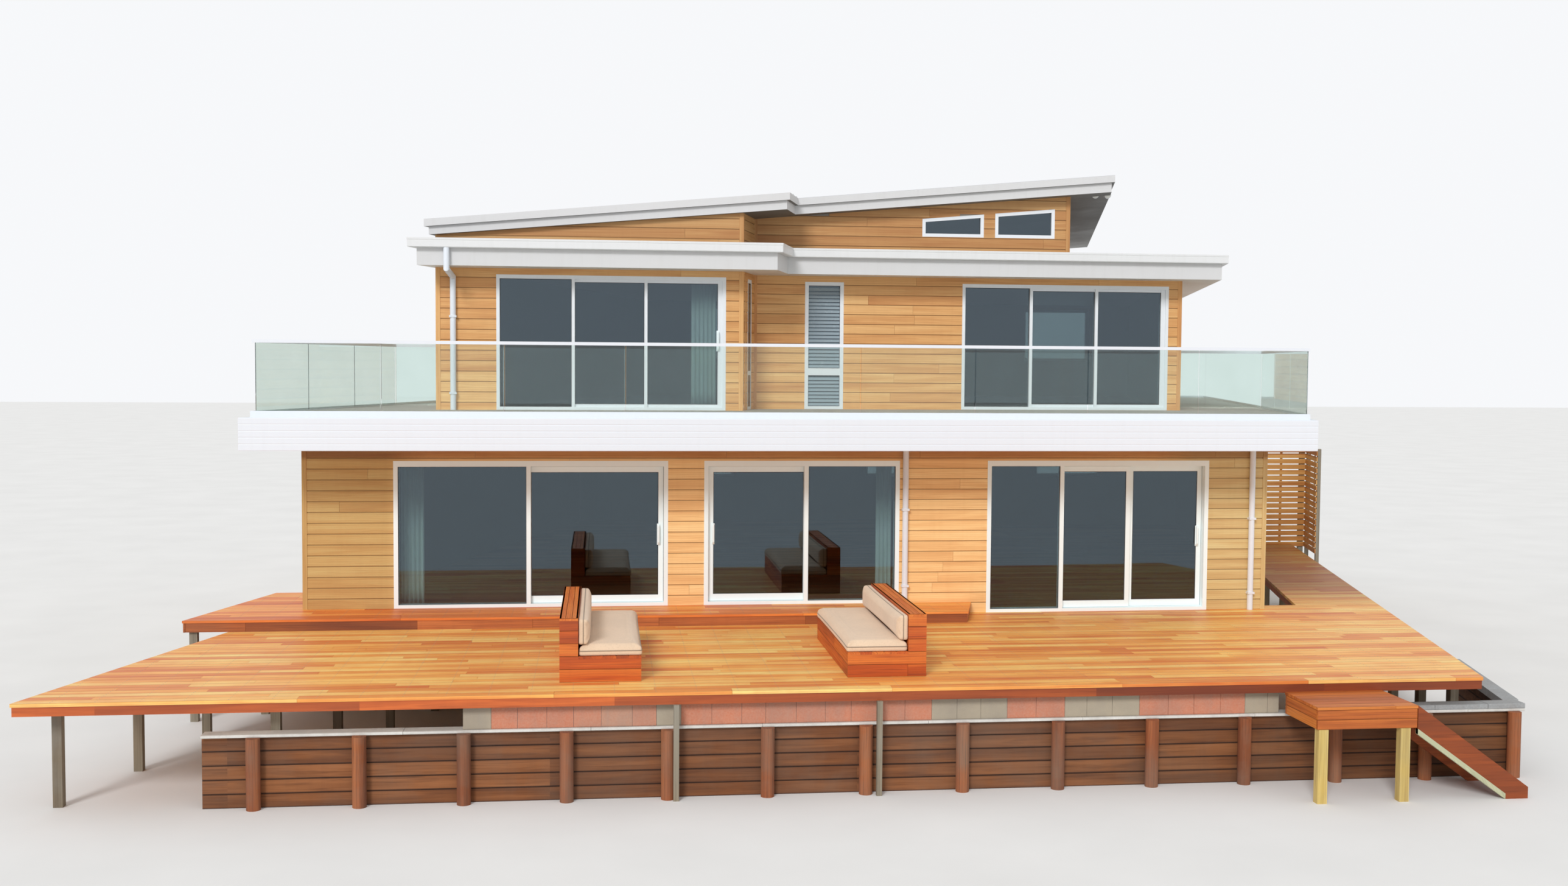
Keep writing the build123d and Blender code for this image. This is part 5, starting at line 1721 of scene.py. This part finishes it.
class HOUSE_OT_cushions(bpy.types.Operator):
    """Canvas seat and back cushions of the benches"""

    bl_idname = "house.cushions"
    bl_label = "Cushions"

    SEAT_CROWN = 0.018
    BACK_CROWN = 0.016
    ROOM = (0.020, 0.016, 0.012)     # left free along, across and through the CAD pad
    FILL = 0.7

    def execute(self, context):
        made = {}
        along, across, through = self.ROOM
        for index, (low, high) in enumerate(solids("bench_cushions")):
            size = high - low
            standing = size.z > size.x
            wide, thick = (size.z, size.x) if standing else (size.x, size.z)
            key = (standing, round(wide, 3))
            if key not in made:
                crown = self.BACK_CROWN if standing else self.SEAT_CROWN
                made[key] = stuffed_pad("pad_%d" % len(made), size.y - along, wide - across, thick - through,
                                        crown)
            points, faces, seam = made[key]
            centre = (low + high) / 2
            middles = [(a.x + b.x) / 2 for a, b in solids("benches")]
            toward = 1 if min(middles, key=lambda x: abs(x - centre.x)) > centre.x else -1

            def put_in(p):
                if standing:
                    x = (low.x if toward > 0 else high.x) + toward * (p.z + 0.002)
                    return Vector((x, centre.y + p.x, centre.z + p.y))
                return Vector((centre.x + p.y, centre.y + p.x, low.z + p.z + 0.001))

            pad = Stock()
            pad.add([put_in(p) for p in points], faces)
            name = ("back_cushion_%d" if standing else "seat_cushion_%d") % index
            piece = pad.finish(name, "cloth", "cushion_cloth", smooth=True,
                               replaces=["bench_cushions"] if index == 0 else ())
            level = piece.modifiers.new("soft", "SUBSURF")
            level.levels = 1
            level.render_levels = 1
            cord = Stock()
            cord.tube([put_in(p) for p in seam], context.scene.house_sizes.piping_r, 8, closed=True)
            cord.finish(name + "_piping", "piping", "cushion_cloth", smooth=True)
        return {"FINISHED"}


class HOUSE_OT_lower_wall(bpy.types.Operator):
    """Blocks, cap and coping of the low wall under the deck's edge"""

    bl_idname = "house.lower_wall"
    bl_label = "Low wall"

    GREY_STRETCHES = ((-4.4, -4.1), (-2.15, -1.93), (0.80, 1.78), (2.43, 3.24), (4.56, 5.0))
    CAP_LEN = 2.0
    COPING_LEN = 0.7
    RETURN_LEN = 0.62

    def stones(self, stock, left, right, y0, y1, foot, top, long, seed):
        """A run of stones with uneven lengths, edges eased."""
        dice = random.Random(seed)
        x = left
        while x < right - 0.02:
            stop = min(right, x + long * dice.uniform(0.86, 1.14))
            if right - stop < long * 0.3:
                stop = right
            lift = dice.uniform(-0.003, 0.0)
            tone = dice.random() * 0.7
            if any(a < (x + stop) / 2 < b for a, b in self.GREY_STRETCHES):
                tone = 1.0
            stock.box((x + 0.002, y0 - lift, foot), (stop - 0.002, y1, top + lift), tone, chamfer=0.006)
            x = stop

    def execute(self, context):
        low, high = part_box("block_band")
        tris = triangles(["block_band"])
        levels = sorted({round(float(z), 3) for z in tris[:, :, 2].ravel()})
        cap_top = levels[1] + 0.001
        coping_top = levels[-2]
        band = tris[tris[:, :, 2].max(axis=1) > high.z - 0.01].reshape(-1, 3)
        left, right = band[:, 0].min(), band[:, 0].max()
        y0, y1 = band[:, 1].min(), band[:, 1].max()
        blocks = Stock()
        self.stones(blocks, left, right, y0, y1, cap_top - 0.001, high.z - 0.002,
                    context.scene.house_sizes.block_len, 17)
        blocks.finish("band_blocks", "block", "masonry", replaces=["block_band"])
        mortar = Stock()
        mortar.box((left + 0.004, y0 + 0.010, cap_top - 0.002), (right - 0.004, y1 - 0.01, high.z - 0.003))
        mortar.finish("band_mortar", "concrete", "masonry")
        coping = tris[abs(tris[:, :, 2] - coping_top).max(axis=1) < 0.001].reshape(-1, 3)
        front = coping[coping[:, 1] < low.y + 0.25]
        start, end = front[:, 0].min(), front[:, 0].max()
        inner = front[:, 1].max()
        caps = Stock()
        self.stones(caps, low.x, start, low.y, inner, low.z, cap_top, self.CAP_LEN, 19)
        self.stones(caps, start, end, low.y, inner, low.z, cap_top, self.CAP_LEN / 2, 23)
        caps.finish("low_wall_cap", "cap", "masonry")
        copings = Stock()
        self.stones(copings, start, end, low.y, inner, cap_top, coping_top, self.COPING_LEN, 29)
        side = face_of(["block_band"], UP, near=coping_top, stack=BACK)
        inner = inner + 0.001
        lay_rows(copings, side, inner, self.RETURN_LEN, flat_board(self.RETURN_LEN, 0.004, 0.008),
                 low.z - coping_top, 9.0, 31, within=(inner, side.reach()[3]))
        copings.finish("low_wall_coping", "coping", "masonry")
        return {"FINISHED"}


# Stage


FOCAL_PX = 2520.0                        # pixel values in the photograph's 2576 x 1455 frame
MIDDLE_PX = (1288.0, 727.5)
ACROSS_PX = (22500, 745)                 # vanishing points of the front's lines and of those back
DEPTH_PX = (1010, 597)
CAMERA_AT = (-2.84, -21.73, 4.769)
SUN_WAY = Vector((0.36, 0.78, -0.53))


def photo_axes():
    """Camera matrix from the two vanishing points measured in the photograph."""
    def ray(point):
        return np.array([(p - middle) / FOCAL_PX for p, middle in zip(point, MIDDLE_PX)] + [1.0])

    across = ray(ACROSS_PX)
    across = across / np.linalg.norm(across)
    depth = ray(DEPTH_PX)
    depth = depth - (depth @ across) * across
    depth = depth / np.linalg.norm(depth)
    rise = np.cross(across, depth)
    if rise[1] > 0:
        rise = -rise
    return Matrix([(way[0], -way[1], -way[2]) for way in (across, depth, rise)])


class HOUSE_OT_stage(bpy.types.Operator):
    """Pale floor, soft light and the camera"""

    bl_idname = "house.stage"
    bl_label = "Stage"

    def placed(self, context, name, data):
        """Object of the stage for a camera, a light or a mesh."""
        thing = bpy.data.objects.new(name, data)
        context.scene.collection.objects.link(thing)
        return thing

    def light(self, context):
        """The key light, and a sky that shows paler to the camera than it shines."""
        settings = context.scene.house_stage
        sun = self.placed(context, "sun", bpy.data.lights.new("sun", "SUN"))
        sun.data.energy = settings.sun
        sun.data.angle = settings.sun_width
        sun.rotation_euler = SUN_WAY.to_track_quat("-Z", "Y").to_euler()
        world = bpy.data.worlds.new("sky")
        context.scene.world = world
        world.use_nodes = True
        world.node_tree.nodes.clear()
        n = Nodes(world.node_tree)
        path = n.put("ShaderNodeLightPath").outputs
        seen = n.math("MAXIMUM", path["Is Camera Ray"], path["Is Glossy Ray"])
        seen = n.math("MAXIMUM", seen, path["Is Transmission Ray"])
        shine = n.put("ShaderNodeBackground", {"Color": (1.0, 1.0, 1.0), "Strength": settings.sky})
        pale = n.put("ShaderNodeBackground", {"Color": (0.93, 0.94, 0.96), "Strength": 1.0})
        both = n.put("ShaderNodeMixShader", {0: seen, 1: shine.outputs[0], 2: pale.outputs[0]})
        n.put("ShaderNodeOutputWorld", {0: both.outputs[0]})

    def execute(self, context):
        scene = context.scene
        scene.view_settings.view_transform = "Standard"
        camera = self.placed(context, "camera", bpy.data.cameras.new("camera"))
        camera.data.sensor_width = 36.0
        camera.data.lens = scene.house_stage.lens
        camera.data.clip_end = 400
        camera.matrix_world = Matrix.Translation(CAMERA_AT) @ photo_axes().to_4x4()
        scene.camera = camera
        self.light(context)
        form = bmesh.new()
        bmesh.ops.create_grid(form, x_segments=1, y_segments=1, size=160)
        mesh = bpy.data.meshes.new("floor")
        form.to_mesh(mesh)
        form.free()
        n = Finish("pale_floor")
        cloudy = n.ranged(n.noise(n.coords(), 0.6, 3.0), 0.3, 0.7, 0.0, 1.0)
        n.feed(n.shader.inputs["Base Color"], n.mix(cloudy, (0.80, 0.80, 0.79), (0.84, 0.84, 0.83)))
        n.feed(n.shader.inputs["Roughness"], 0.9)
        mesh.materials.append(n.material)
        self.placed(context, "floor", mesh)
        return {"FINISHED"}


class HOUSE_PT_panel(bpy.types.Panel):
    """Lists what the house is made of"""

    bl_idname = "HOUSE_PT_panel"
    bl_label = "Beach House"
    bl_space_type = "VIEW_3D"
    bl_region_type = "UI"
    bl_category = "Beach House"

    def draw(self, context):
        for label, group in (("Sizes", context.scene.house_sizes), ("Colours", context.scene.house_colours),
                             ("Stage", context.scene.house_stage)):
            box = self.layout.box()
            box.label(text=label)
            for name in group.__class__.__annotations__:
                box.prop(group, name)
        for operator in STEPS:
            self.layout.operator(operator.bl_idname)


GROUPS = (HouseSizes, HouseColours, StageSettings)
STEPS = (
    HOUSE_OT_finishes, HOUSE_OT_stage, HOUSE_OT_cladding, HOUSE_OT_balcony, HOUSE_OT_roofs, HOUSE_OT_lamp,
    HOUSE_OT_joinery, HOUSE_OT_louvres, HOUSE_OT_curtains, HOUSE_OT_deck, HOUSE_OT_landing, HOUSE_OT_benches,
    HOUSE_OT_lower_wall, HOUSE_OT_cushions,
)


def register():
    """Registers the properties, the operators and the panel."""
    for item in GROUPS + STEPS + (HOUSE_PT_panel,):
        bpy.utils.register_class(item)
    bpy.types.Scene.house_sizes = PointerProperty(type=HouseSizes)
    bpy.types.Scene.house_colours = PointerProperty(type=HouseColours)
    bpy.types.Scene.house_stage = PointerProperty(type=StageSettings)


def unregister():
    """Takes them out again."""
    del bpy.types.Scene.house_stage
    del bpy.types.Scene.house_colours
    del bpy.types.Scene.house_sizes
    for item in reversed(GROUPS + STEPS + (HOUSE_PT_panel,)):
        bpy.utils.unregister_class(item)


def main():
    """Builds everything in order."""
    register()
    for operator in STEPS:
        group, name = operator.bl_idname.split(".")
        getattr(getattr(bpy.ops, group), name)()


if __name__ == "__main__":
    main()
